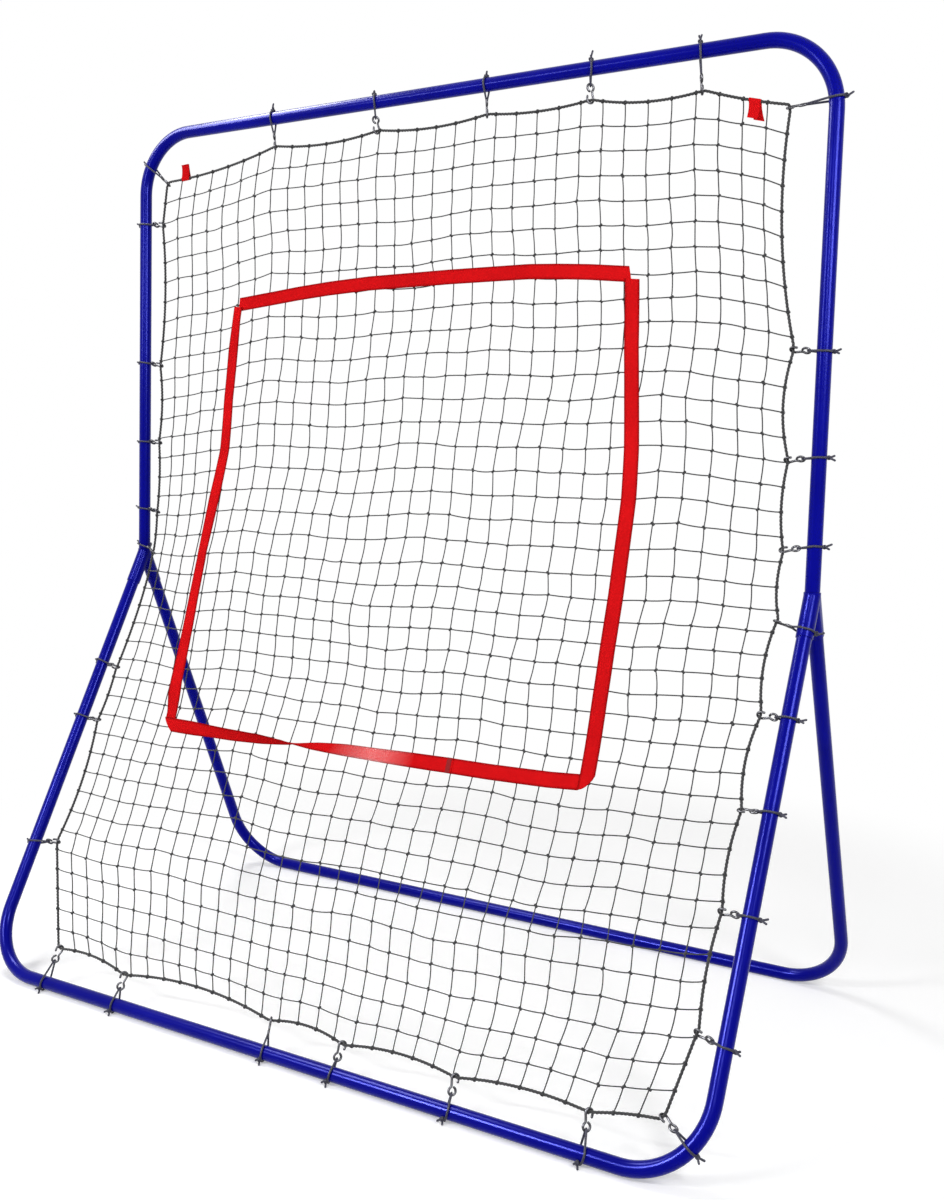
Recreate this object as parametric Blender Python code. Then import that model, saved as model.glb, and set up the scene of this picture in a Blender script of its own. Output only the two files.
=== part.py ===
"""Pitch back rebounder: a square-mesh net hung by elastic ties in a frame of three steel bows.

Metres and degrees, +Z up, X across the frame, the thrower stands on the -Y side.
The origin is on the ground, in the middle of the rebounder's outline.
Positions on the net and on the bows that carry it are given as (x, s): x across the frame
and s along the side tubes, measured from the mid joint, positive up the upper bow and
negative down the front bow.
"""
import math

import bmesh
import bpy
import numpy as np

# ---- driving dimensions: frame ----
FRAME_WIDTH = 1.328       # between the centre lines of the two side tubes
TUBE_OD = 0.0222          # seven eighths of an inch steel tube
TUBE_WALL = 0.0011
CORNER_RADIUS = 0.108     # bend radius of the bows, on the centre line
UPPER_LENGTH = 0.794      # mid joint to top bar
UPPER_LEAN = 2.9          # the upper bow leans back from the vertical
FRONT_LENGTH = 0.814      # mid joint to front bar
FRONT_SPLAY = 30.2        # the front bow runs forward and down
REAR_SPLAY = 22.1         # the rear bow runs back and down
TUBE_SIDES = 16
CORNER_STEPS = 6

# ---- driving dimensions: Y connectors ----
SOCKET_WALL = 0.0011
SOCKET_REACH = 0.066      # mid joint to the mouth of a leg socket
SOCKET_STOP = 0.028       # mid joint to the end of a leg tube pushed home
COLLAR_HEIGHT = 0.006     # the shoulder that the upper bow stands on
SPIGOT_HEIGHT = 0.050     # the plug inside the upper bow's ends, from the mid joint
CHANNEL_RADIUS = 0.0080   # the hollow through the connector
CHANNEL_SIDES = 8
FIT_GAP = 0.0003          # clearance between pieces that touch

# ---- driving dimensions: net, border rope, strike zone ----
ROPE_DIAMETER = 0.0045
ROPE_SIDES = 6
ROPE_STEPS = 3            # rope pieces between two ties
ROPE_GRIP = 0.0042        # half the straight piece of rope in a hook
SAG_DECAY = 0.070         # how far into the net the rope's scallops are felt
MESH_CORD = 0.0024
MESH_COLUMNS = 13
MESH_ROWS = 15
BULGE_MIDDLE = 0.396      # how far from the mid joint the net rounds off the frame's bend,
BULGE_EDGE = 0.066        # in its middle and at its edges
BULGE_REACH = 0.350       # where that rounding has died out
BAND_WIDTH = 0.020
BAND_THICKNESS = 0.0014
BAND_CLEAR = 0.0010       # between the net's cords and the band
BAND_STEP = 0.060
TAB_WIDTH = 0.019
TAB_THICKNESS = 0.0009

# ---- driving dimensions: ties ----
ELASTIC_DIAMETER = 0.0032
ELASTIC_SQUASHED = 0.0017  # the elastic's thickness where the front bar stands on it
ELASTIC_SIDES = 5
ELASTIC_STEPS = 8
KNOT_RADIUS = 0.0034
HOOK_WIRE = 0.0036
HOOK_EYE_RADIUS = 0.0057  # centre line
HOOK_BEND_RADIUS = 0.0062  # centre line
HOOK_PITCH = 0.0178       # centre of the eye to centre of the bend
HOOK_SIDES = 5
HOOK_EYE_STEPS = 7
HOOK_BEND_STEPS = 5

TIE_REACH = 0.040         # from a tube's centre to the rope, about the shortest

# Ties on the straight tubes: place along the tube, how much longer than TIE_REACH it is,
# how far along the tube the rope is held from that place, the hook's twist.
TOP_TIES = [(-0.352, 0.010, 0.006, 30), (-0.130, 0.008, 0.007, -30), (0.092, 0.007, 0.003, 35),
            (0.279, 0.008, 0.001, -35), (0.457, 0.018, 0.006, 30)]
BOTTOM_TIES = [(-0.519, 0.020, 0.006, -30), (-0.352, 0.009, -0.001, -35), (-0.033, 0.007, -0.006, 35),
               (0.093, 0.004, 0.006, 145), (0.295, 0.006, 0.000, 145), (0.503, 0.013, -0.002, 145)]
LEFT_TIES = [(UPPER_LENGTH - 0.162, 0.005, -0.004, 35), (0.368, 0.001, -0.005, 35), (0.215, 0.000, 0.000, 35),
             (0.086, 0.000, -0.005, 35), (0.016, -0.001, -0.014, 35), (-0.234, 0.002, -0.008, -35),
             (-0.346, 0.003, -0.002, -35), (0.224 - FRONT_LENGTH, 0.014, 0.010, 25)]
RIGHT_TIES = [(0.350, 0.005, 0.004, 35), (0.200, 0.005, -0.004, 35), (0.072, 0.004, -0.006, 145),
              (-0.056, 0.001, 0.014, -10), (-0.189, 0.000, 0.002, 35), (-0.325, 0.001, -0.002, -35),
              (-0.470, 0.000, 0.001, 35), (0.173 - FRONT_LENGTH, 0.000, 0.012, 35)]
# Ties on the bends: the bend's side and end, the place round it, and the rope's (x, s)
# from the tube, then the hook's twist.
CORNER_TIES = {"top_left": (-1, 1, 61, (0.044, -0.035), 30), "top_right": (1, 1, 82, (-0.066, -0.005), 25),
               "bottom_right": (1, -1, 55, (-0.043, 0.027), -30)}
# The rope's sag from each tie to the next, as a share of their distance, clockwise from
# the tie on the upper left bend.
SAGS = {"top": [0.030, 0.040, 0.040, 0.035, 0.050, 0.020],
        "right": [0.045, 0.070, 0.045, 0.060, 0.055, 0.060, 0.045, 0.035, 0.0],
        "bottom": [0.025, 0.040, 0.050, 0.065, 0.050, 0.055],
        "left": [0.0, 0.050, 0.035, 0.020, 0.010, 0.025, 0.045, 0.035, 0.0]}

# Strike zone band, as (x, s) of its centre line: corners, with each side's slight bow.
ZONE_PATH = [(-0.419, 0.471), (-0.281, 0.483), (-0.065, 0.490), (0.130, 0.491), (0.361, 0.478),
             (0.376, 0.285), (0.388, 0.130), (0.389, -0.085), (0.392, -0.312),
             (0.153, -0.322), (-0.179, -0.328), (-0.428, -0.328),
             (-0.452, -0.165), (-0.454, 0.000), (-0.441, 0.146), (-0.436, 0.300)]
# Webbing tabs: side, how far inside that tube, the tails' length, and 1 to hang or -1 to stand up.
TABS = {"tab_left": (-1, 0.104, 0.028, -1), "tab_right": (1, 0.119, 0.023, 1)}

# ---- sizes that follow ----
TUBE_RADIUS = TUBE_OD / 2
FLAT = math.cos(math.pi / TUBE_SIDES)         # a facet's distance over a corner's
FOOT_LIFT = ELASTIC_SQUASHED + FIT_GAP        # the front bar stands on the elastic loops
ROPE_RADIUS = ROPE_DIAMETER / 2
ELASTIC_RADIUS = ELASTIC_DIAMETER / 2
WIRE_RADIUS = HOOK_WIRE / 2
HALF_WIDTH = FRAME_WIDTH / 2
SOCKET_BORE = TUBE_RADIUS + FIT_GAP
SOCKET_RADIUS = SOCKET_BORE + SOCKET_WALL
SPIGOT_RADIUS = TUBE_RADIUS - TUBE_WALL - FIT_GAP


def leaning(degrees, up):
    """Unit vector in the YZ plane, leaning back by an angle from straight up or down."""
    angle = math.radians(degrees)
    return np.array([0.0, math.sin(angle), math.cos(angle) * up])


UPPER_WAY = leaning(UPPER_LEAN, 1)
FRONT_WAY = leaning(-FRONT_SPLAY, -1)
REAR_WAY = leaning(REAR_SPLAY, -1)
ACROSS = np.array([1.0, 0.0, 0.0])
FORWARD = np.array([0.0, -1.0, 0.0])
MID_HEIGHT = -FRONT_LENGTH * FRONT_WAY[2] + TUBE_RADIUS * FLAT + FOOT_LIFT
REAR_LENGTH = (TUBE_RADIUS * FLAT - MID_HEIGHT) / REAR_WAY[2]
ELASTIC_REACH = TUBE_RADIUS + FIT_GAP + ELASTIC_DIAMETER
MID_BACK = (-FRONT_LENGTH * FRONT_WAY[1] + ELASTIC_REACH - REAR_LENGTH * REAR_WAY[1] - TUBE_RADIUS) / 2
MID_JOINT = np.array([0.0, MID_BACK, MID_HEIGHT])


# ---- materials ----

def material(name, colour, roughness, metallic=0.0, coat=0.0):
    """A Principled material."""
    made = bpy.data.materials.new(name)
    made.use_nodes = True
    shader = made.node_tree.nodes["Principled BSDF"]
    shader.inputs["Base Color"].default_value = (*colour, 1.0)
    shader.inputs["Roughness"].default_value = roughness
    shader.inputs["Metallic"].default_value = metallic
    shader.inputs["Coat Weight"].default_value = coat
    made.diffuse_color = (*colour, 1.0)
    return made


# ---- mesh tools ----

def unit(vector):
    """The vector scaled to length one, also for an array of vectors."""
    vector = np.asarray(vector, float)
    return vector / np.linalg.norm(vector, axis=-1, keepdims=True)


def new_mesh(name, corners, faces):
    """A mesh from corner positions and faces."""
    mesh = bpy.data.meshes.new(name)
    mesh.from_pydata([tuple(c) for c in corners], [], [tuple(int(i) for i in f) for f in faces])
    work = bmesh.new()
    work.from_mesh(mesh)
    bmesh.ops.recalc_face_normals(work, faces=work.faces)
    work.to_mesh(mesh)
    work.free()
    return mesh


def add_object(name, mesh, finish, smooth=30):
    """Put a mesh into the scene as one named piece."""
    mesh.name = name
    mesh.materials.clear()
    mesh.materials.append(finish)
    mesh.shade_smooth()
    mesh.set_sharp_from_angle(angle=math.radians(smooth))
    piece = bpy.data.objects.new(name, mesh)
    bpy.context.scene.collection.objects.link(piece)
    return piece


def tangents(points, closed):
    """Unit direction of a path at each of its points."""
    if closed:
        return unit(np.roll(points, -1, axis=0) - np.roll(points, 1, axis=0))
    return unit(np.gradient(points, axis=0))


def ring_corners(points, radii, sides, side_way, phase, closed):
    """Corners of the rings that a tube of many sides has at each point of its path.

    side_way is a direction roughly square to the path; a ring's corners lie at
    phase + (k + 1/2) turns / sides, counted from the outward way (path x side_way).
    """
    points = np.asarray(points, float)
    along = tangents(points, closed)
    side = unit(side_way - along * (along @ side_way)[:, None])
    out = np.cross(along, side)
    turn = phase + (np.arange(sides) + 0.5) * 2 * math.pi / sides
    radii = np.broadcast_to(radii, len(points))[:, None, None]
    spoke = out[:, None] * np.cos(turn)[None, :, None] + side[:, None] * np.sin(turn)[None, :, None]
    return points[:, None] + radii * spoke


def skin_faces(rings, sides, closed, first=0, inward=False):
    """Quads between neighbouring rings of a tube."""
    faces = []
    for ring in range(rings if closed else rings - 1):
        following = (ring + 1) % rings
        for k in range(sides):
            step = (k + 1) % sides
            quad = [ring * sides + k, ring * sides + step, following * sides + step, following * sides + k]
            quad = [first + corner for corner in quad]
            faces.append(quad if inward else quad[::-1])
    return faces


def tube_mesh(name, points, radii, sides, side_way, phase=0.0, closed=False):
    """A solid tube along a path, with flat ends, or a closed loop of it."""
    corners = ring_corners(points, radii, sides, side_way, phase, closed)
    faces = skin_faces(len(points), sides, closed)
    if not closed:
        last = (len(points) - 1) * sides
        faces.append(list(range(sides)))
        faces.append([last + k for k in range(sides)][::-1])
    return new_mesh(name, corners.reshape(-1, 3), faces)


def hollow_tube_mesh(name, points, radius, wall, sides, side_way, phase):
    """A tube with an open bore along a path."""
    outer = ring_corners(points, radius, sides, side_way, phase, False)
    inner = ring_corners(points, radius - wall, sides, side_way, phase, False)
    count = len(points) * sides
    faces = skin_faces(len(points), sides, False)
    faces += skin_faces(len(points), sides, False, first=count, inward=True)
    last = count - sides
    for k in range(sides):
        step = (k + 1) % sides
        faces.append([k, step, count + step, count + k])
        faces.append([last + k, count + last + k, count + last + step, last + step])
    return new_mesh(name, np.concatenate([outer, inner]).reshape(-1, 3), faces)


def strip_mesh(name, edges):
    """A solid strip from stations of four corners each; edges is (stations, 4, 3), closed on itself."""
    stations = len(edges)
    return new_mesh(name, np.asarray(edges).reshape(-1, 3), skin_faces(stations, 4, True))


def divided(path, step):
    """A closed path with each of its straight pieces cut into steps of this length at most."""
    places = []
    for start, end in zip(path, np.roll(path, -1, axis=0)):
        count = math.ceil(np.linalg.norm(end - start) / step)
        places += [start + (end - start) * share / count for share in range(count)]
    return np.array(places)


def combine(first, second, operation):
    """Join two meshes, or cut the second out of the first."""
    pieces = [bpy.data.objects.new("operand", mesh) for mesh in (first, second)]
    for piece in pieces:
        bpy.context.scene.collection.objects.link(piece)
    change = pieces[0].modifiers.new("combine", "BOOLEAN")
    change.object = pieces[1]
    change.operation = operation
    change.solver = "EXACT"
    evaluated = pieces[0].evaluated_get(bpy.context.evaluated_depsgraph_get())
    result = bpy.data.meshes.new_from_object(evaluated)
    for piece in pieces:
        bpy.data.objects.remove(piece)
    return result


# ---- frame ----

def facet_phase(way):
    """Ring phase that puts a facet of a bow's bar flat towards the ground."""
    side = np.cross(way, ACROSS)
    return math.atan2(-side[2], -way[2])


def bow_path(length, start):
    """Centre line of a bow as (x, distance from the mid joint), left end to right end."""
    turn = np.linspace(0, math.pi / 2, CORNER_STEPS + 1)
    across = HALF_WIDTH - CORNER_RADIUS * (1 - np.sin(turn[::-1]))
    down = length - CORNER_RADIUS * (1 - np.cos(turn[::-1]))
    left = np.column_stack([-across, down])
    bend_start = [[-HALF_WIDTH, start]]
    half = np.concatenate([bend_start, left])
    return np.concatenate([half, half[::-1] * [-1, 1]])


def bow(name, way, length, start, finish):
    """One steel bow: a U of round tube with its ends at the mid joints."""
    path = bow_path(length, start)
    points = MID_JOINT + path[:, :1] * ACROSS + path[:, 1:] * way
    side = np.cross(way, ACROSS)
    mesh = hollow_tube_mesh(name, points, TUBE_RADIUS, TUBE_WALL, TUBE_SIDES, side, facet_phase(way))
    return add_object(name, mesh, finish)


def connector(name, hand, finish):
    """A Y connector: two leg sockets, and a plug that the upper bow stands on."""
    centre = MID_JOINT + hand * HALF_WIDTH * ACROSS

    def stub(way, start, end, radius, sides=TUBE_SIDES):
        points = [centre + way * start, centre + way * end]
        phase = facet_phase(way)
        return tube_mesh("stub", points, radius, sides, np.cross(way, ACROSS), phase)

    body = stub(FRONT_WAY, 0, SOCKET_REACH, SOCKET_RADIUS)
    body = combine(body, stub(REAR_WAY, 0, SOCKET_REACH, SOCKET_RADIUS), "UNION")
    body = combine(body, stub(UPPER_WAY, -COLLAR_HEIGHT, COLLAR_HEIGHT, SOCKET_RADIUS), "UNION")
    body = combine(body, stub(UPPER_WAY, 0, SPIGOT_HEIGHT, SPIGOT_RADIUS), "UNION")
    past = SOCKET_REACH + TUBE_OD
    for way in (FRONT_WAY, REAR_WAY):
        body = combine(body, stub(way, SOCKET_STOP - FIT_GAP, past, SOCKET_BORE), "DIFFERENCE")
        channel = stub(way, 0, SOCKET_STOP + TUBE_RADIUS, CHANNEL_RADIUS, CHANNEL_SIDES)
        body = combine(body, channel, "DIFFERENCE")
    channel = stub(UPPER_WAY, -CHANNEL_RADIUS / 2, SPIGOT_HEIGHT + TUBE_RADIUS, CHANNEL_RADIUS, CHANNEL_SIDES)
    body = combine(body, channel, "DIFFERENCE")
    return add_object(name, body, finish)


# ---- the net's surface ----

def frame_point(place):
    """World position of an (x, s) place in the bent plane of the upper and front bows."""
    place = np.asarray(place, float)
    x, s = place[..., :1], place[..., 1:]
    way = np.where(s > 0, UPPER_WAY, -FRONT_WAY)
    return MID_JOINT + x * ACROSS + s * way


def net_point(place):
    """World position of an (x, s) place on the net.

    The net cuts the frame's corner at the mid joint: it stands forward by
    c (sqrt(s^2 + d^2) - |s|) exp(-(s / reach)^2), with d large in its middle.
    """
    place = np.asarray(place, float)
    x, s = place[..., :1], place[..., 1:]
    share = np.minimum(np.abs(x) / (HALF_WIDTH - CORNER_RADIUS / 3), 1)
    depth = BULGE_EDGE + (BULGE_MIDDLE - BULGE_EDGE) * (1 - share ** 4)
    slope = (-FRONT_WAY[1] - UPPER_WAY[1]) / 2
    forward = slope * (np.sqrt(s ** 2 + depth ** 2) - np.abs(s)) * np.exp(-(s / BULGE_REACH) ** 2)
    return frame_point(place) + forward * FORWARD


def tie_places():
    """Each tie's tube place, rope place, twist and the tube's direction, by name, in order round the net."""
    top = UPPER_LENGTH
    bottom = -FRONT_LENGTH
    ties = {}

    def add(name, tube, rope_from_tube, twist, along):
        rope = (tube[0] + rope_from_tube[0], tube[1] + rope_from_tube[1])
        ties[name] = (np.array(tube), np.array(rope), twist, along)

    def corner(name):
        hand, end, angle, rope, twist = CORNER_TIES[name]
        turn = math.radians(angle)
        middle = top if end > 0 else bottom
        tube = (hand * (HALF_WIDTH - CORNER_RADIUS * (1 - math.sin(turn))),
                middle - end * CORNER_RADIUS * (1 - math.cos(turn)))
        along = (math.cos(turn), -hand * end * math.sin(turn))
        add("tie_" + name, tube, rope, twist, along)

    corner("top_left")
    for count, (x, longer, drift, twist) in enumerate(TOP_TIES, 1):
        add(f"tie_top_{count}", (x, top), (drift, -TIE_REACH - longer), twist, (1, 0))
    corner("top_right")
    for count, (s, longer, drift, twist) in enumerate(RIGHT_TIES, 1):
        add(f"tie_right_{count}", (HALF_WIDTH, s), (-TIE_REACH - longer, drift), twist, (0, 1))
    corner("bottom_right")
    for count, (x, longer, drift, twist) in reversed(list(enumerate(BOTTOM_TIES, 1))):
        add(f"tie_bottom_{count}", (x, bottom), (drift, TIE_REACH + longer), twist, (1, 0))
    for count, (s, longer, drift, twist) in reversed(list(enumerate(LEFT_TIES, 1))):
        add(f"tie_left_{count}", (-HALF_WIDTH, s), (TIE_REACH + longer, drift), twist, (0, 1))
    return ties


def scallops(held, pull):
    """Rope places from each held place to the next, sagging inwards as parabolas.

    In a hook the rope lies square to its pull for a short way, ROPE_GRIP to both sides.
    """
    grip = np.column_stack([-pull[:, 1], pull[:, 0]]) * ROPE_GRIP
    start = held + grip
    span = np.roll(held - grip, -1, axis=0) - start
    inwards = np.column_stack([span[:, 1], -span[:, 0]])
    share = np.arange(ROPE_STEPS + 1) / ROPE_STEPS
    sag = 4 * share * (1 - share) * np.concatenate(list(SAGS.values()))[:, None]
    straight = start[:, None] + span[:, None] * share[None, :, None]
    return straight, inwards[:, None] * sag[..., None]


class Outline:
    """The net's outline: four sides between corner ties, each read by its share of length."""

    def __init__(self, ties):
        names = list(ties)
        held = np.array([ties[name][1] for name in names])
        straight, sag = scallops(held, unit(held - [ties[name][0] for name in names]))
        self.rope = (straight + sag).reshape(-1, 2)
        corners = [names.index("tie_top_left"), names.index("tie_top_right"),
                   names.index("tie_bottom_right"), names.index("tie_bottom_1"), len(names)]
        self.sides = {}
        for side, start, end in zip(("top", "right", "bottom", "left"), corners, corners[1:]):
            line = np.concatenate([held[[start]], straight[start:end].reshape(-1, 2), held[[end % len(names)]]])
            hollow = np.pad(sag[start:end].reshape(-1, 2), ((1, 1), (0, 0)))
            self.sides[side] = (line, hollow)

    def read(self, side, share, backwards):
        """Straight places and sags at shares of a side's length."""
        line, sag = self.sides[side]
        if backwards:
            line, sag = line[::-1], sag[::-1]
        length = np.concatenate([[0], np.cumsum(np.linalg.norm(np.diff(line, axis=0), axis=1))])
        at = np.asarray(share) * length[-1]
        place = np.stack([np.interp(at, length, line[:, k]) for k in (0, 1)], axis=-1)
        hollow = np.stack([np.interp(at, length, sag[:, k]) for k in (0, 1)], axis=-1)
        return place, hollow


def mesh_place(outline, u, v):
    """(x, s) of the net at shares u across and v up: a Coons patch of the outline.

    The rope's sags fade away from the edge as exp(-distance / SAG_DECAY).
    """
    u, v = np.asarray(u, float), np.asarray(v, float)
    top, top_sag = outline.read("top", u, False)
    bottom, bottom_sag = outline.read("bottom", u, True)
    left, left_sag = outline.read("left", v, False)
    right, right_sag = outline.read("right", v, True)
    corners = [outline.read("bottom", 0, True)[0], outline.read("bottom", 1, True)[0],
               outline.read("top", 0, False)[0], outline.read("top", 1, False)[0]]
    a, b = u[..., None], v[..., None]
    place = (1 - b) * bottom + b * top + (1 - a) * left + a * right
    place = place - ((1 - a) * (1 - b) * corners[0] + a * (1 - b) * corners[1]
                     + (1 - a) * b * corners[2] + a * b * corners[3])
    tall, wide = UPPER_LENGTH + FRONT_LENGTH, FRAME_WIDTH
    fade = [np.exp(-(1 - b) * tall / SAG_DECAY), np.exp(-b * tall / SAG_DECAY),
            np.exp(-a * wide / SAG_DECAY), np.exp(-(1 - a) * wide / SAG_DECAY)]
    return place + fade[0] * top_sag + fade[1] * bottom_sag + fade[2] * left_sag + fade[3] * right_sag


def mesh_stations(outline, count, other, across):
    """Places along each cord: both ends, clear of the rope, and both edges of each crossing cord.

    The result is (cords, stations, 2).
    """
    cords = np.arange(1, count) / count
    crossings = np.arange(1, other) / other
    shares = np.concatenate([[0], crossings, [1]])
    lane, along = np.meshgrid(cords, shares, indexing="ij")
    grid = mesh_place(outline, along, lane) if across else mesh_place(outline, lane, along)
    heading = unit(np.diff(grid, axis=1))
    clear = ROPE_RADIUS + MESH_CORD + FIT_GAP
    start = grid[:, 0] + heading[:, 0] * clear
    end = grid[:, -1] - heading[:, -1] * clear
    return grid, start, end


def net(name, outline, finish):
    """The square-mesh net: crossing cords of square section, one body, its ends at the rope."""
    grid_v, low, high = mesh_stations(outline, MESH_COLUMNS, MESH_ROWS, False)
    grid_h, left, right = mesh_stations(outline, MESH_ROWS, MESH_COLUMNS, True)
    knots = grid_v[:, 1:-1]
    columns, rows = knots.shape[:2]
    up = unit(np.gradient(grid_v, axis=1))[:, 1:-1]
    over = unit(np.gradient(grid_h, axis=1))[:, 1:-1].transpose(1, 0, 2)
    half = MESH_CORD / 2
    corners, faces = [], []

    def add(place, depth):
        corners.append(net_point(place) + depth * FORWARD)
        return len(corners) - 1

    def block(column, row):
        """Four corners in front and four behind, round one crossing: (-,-), (+,-), (+,+), (-,+)."""
        at, u, v = knots[column, row], over[column, row] * half, up[column, row] * half
        around = [at - u - v, at + u - v, at + u + v, at - u + v]
        return [add(place, half) for place in around] + [add(place, -half) for place in around]

    def cap(at, way):
        """Square end of a cord at a place; the four corners in the order of a block's face."""
        square = np.array([way[1], -way[0]]) * half
        return [add(at - square, half), add(at + square, half), add(at + square, -half), add(at - square, -half)]

    def bridge(one, two):
        """Four quads from one square of corners to the next."""
        for k in range(4):
            step = (k + 1) % 4
            faces.append([one[k], two[k], two[step], one[step]])

    blocks = [[block(column, row) for row in range(rows)] for column in range(columns)]
    for column in range(columns):
        for row in range(rows):
            b = blocks[column][row]
            faces.append([b[0], b[1], b[2], b[3]])
            faces.append([b[7], b[6], b[5], b[4]])
    top = [3, 2, 6, 7]
    base = [0, 1, 5, 4]
    right_face = [2, 1, 5, 6]
    left_face = [3, 0, 4, 7]
    for column in range(columns):
        line = [blocks[column][row] for row in range(rows)]
        for lower, upper in zip(line, line[1:]):
            bridge([lower[k] for k in top], [upper[k] for k in base])
        end = cap(low[column], up[column, 0])
        faces.append(end[::-1])
        bridge(end, [line[0][k] for k in base])
        end = cap(high[column], up[column, -1])
        bridge([line[-1][k] for k in top], end)
        faces.append(end)
    for row in range(rows):
        line = [blocks[column][row] for column in range(columns)]
        for near, far in zip(line, line[1:]):
            bridge([near[k] for k in right_face], [far[k] for k in left_face])
        end = cap(left[row], over[0, row])
        faces.append(end[::-1])
        bridge(end, [line[0][k] for k in left_face])
        end = cap(right[row], over[-1, row])
        bridge([line[-1][k] for k in right_face], end)
        faces.append(end)
    return add_object(name, new_mesh(name, corners, faces), finish)


def border_rope(name, outline, finish):
    """The rope round the net's edge."""
    mesh = tube_mesh(name, net_point(outline.rope), ROPE_RADIUS, ROPE_SIDES, FORWARD, closed=True)
    return add_object(name, mesh, finish, smooth=80)


def strike_zone(name, finish):
    """The webbing band of the strike zone, lying on the front of the net, mitred at its corners."""
    path = divided(np.array(ZONE_PATH), BAND_STEP)
    before = unit(path - np.roll(path, 1, axis=0))
    after = unit(np.roll(path, -1, axis=0) - path)
    square = np.column_stack([-before[:, 1], before[:, 0]])
    bisector = unit(square + np.column_stack([-after[:, 1], after[:, 0]]))
    reach = BAND_WIDTH / 2 / np.sum(bisector * square, axis=1, keepdims=True)
    outer, inner = path + bisector * reach, path - bisector * reach
    back = MESH_CORD / 2 + BAND_CLEAR
    front = back + BAND_THICKNESS
    edges = np.stack([net_point(outer) + front * FORWARD, net_point(inner) + front * FORWARD,
                      net_point(inner) + back * FORWARD, net_point(outer) + back * FORWARD], axis=1)
    return add_object(name, strip_mesh(name, edges), finish)


def tab(name, outline, hand, inset, length, hang, finish):
    """A webbing tab folded round the top rope, its two tails hanging (hang is 1) or standing (-1)."""
    x = hand * (HALF_WIDTH - inset)
    rope = sum(outline.sides["top"])
    reach = np.array([x - TAB_WIDTH / 2, x, x + TAB_WIDTH / 2])
    start, at, end = net_point(np.column_stack([reach, np.interp(reach, rope[:, 0], rope[:, 1])]))
    along = unit(end - start)
    down = unit(np.cross(along, FORWARD))
    down = down * hang * (1 if down[2] < 0 else -1)
    radius = ROPE_RADIUS + FIT_GAP + TAB_THICKNESS / 2
    turn = np.radians(np.linspace(-30, 210, 7))
    over = [(-radius * math.cos(a), -radius * math.sin(a)) for a in turn]
    apart = TAB_THICKNESS / 2 + FIT_GAP
    path = [(-apart, length), (-apart, radius * 1.6)] + over + [(apart, radius * 1.6), (apart, length)]
    path = np.array(path)
    points = at + path[:, :1] * -FORWARD + path[:, 1:] * down
    out = np.cross(tangents(points, False), along) * TAB_THICKNESS / 2
    half = along * TAB_WIDTH / 2
    edges = np.stack([points + out + half, points + out - half, points - out - half, points - out + half], axis=1)
    faces = skin_faces(len(points), 4, False) + [[0, 1, 2, 3], [4 * len(points) - k for k in (1, 2, 3, 4)]]
    return add_object(name, new_mesh(name, edges.reshape(-1, 3), faces), finish)


# ---- ties ----

def elastic_mesh(tube, axis, towards, wrap, nose, drift, knot_step):
    """The elastic loop: round the tube from its knot, and drawn to a nose in the hook's eye."""
    side = np.cross(axis, towards)
    nose_radius = ELASTIC_RADIUS * 1.5
    step_guess = math.pi / ELASTIC_STEPS * 0.7
    clear = (wrap + FIT_GAP) / math.cos(step_guess / 2)
    away = math.acos((clear + ELASTIC_RADIUS - nose_radius) / nose)
    around = np.linspace(away, 2 * math.pi - away, ELASTIC_STEPS + 1)
    radii = np.full(len(around), ELASTIC_RADIUS)
    radii[ELASTIC_STEPS // 2 + knot_step] = KNOT_RADIUS
    reach = clear + radii
    loop = np.column_stack([reach * np.cos(around), reach * np.sin(around)])
    tip = np.array([-away, 0, away])
    end = np.column_stack([nose + nose_radius * np.cos(tip), nose_radius * np.sin(tip)])
    path = np.concatenate([loop, end])
    shift = np.clip(path[:, :1] / nose, 0, 1) * drift
    points = tube + path[:, :1] * towards + path[:, 1:] * side + shift * axis
    radii = np.concatenate([radii, np.full(len(end), ELASTIC_RADIUS)])
    return tube_mesh("elastic", points, radii, ELASTIC_SIDES, axis, phase=math.pi / ELASTIC_SIDES, closed=True)


def hook_mesh(eye, towards, across):
    """The wire hook: a closed eye, a shank, and an open bend that the rope lies in."""
    turn = np.radians(np.linspace(30, 330, HOOK_EYE_STEPS + 1))
    ring = np.column_stack([HOOK_EYE_RADIUS * np.cos(turn), HOOK_EYE_RADIUS * np.sin(turn)])
    turn = np.radians(np.linspace(-90, 125, HOOK_BEND_STEPS + 1))
    bend = np.column_stack([HOOK_PITCH + HOOK_BEND_RADIUS * np.cos(turn), HOOK_BEND_RADIUS * np.sin(turn)])
    path = np.concatenate([ring, bend])
    points = eye + path[:, :1] * towards + path[:, 1:] * across
    return tube_mesh("hook", points, WIRE_RADIUS, HOOK_SIDES, np.cross(towards, across))


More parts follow.
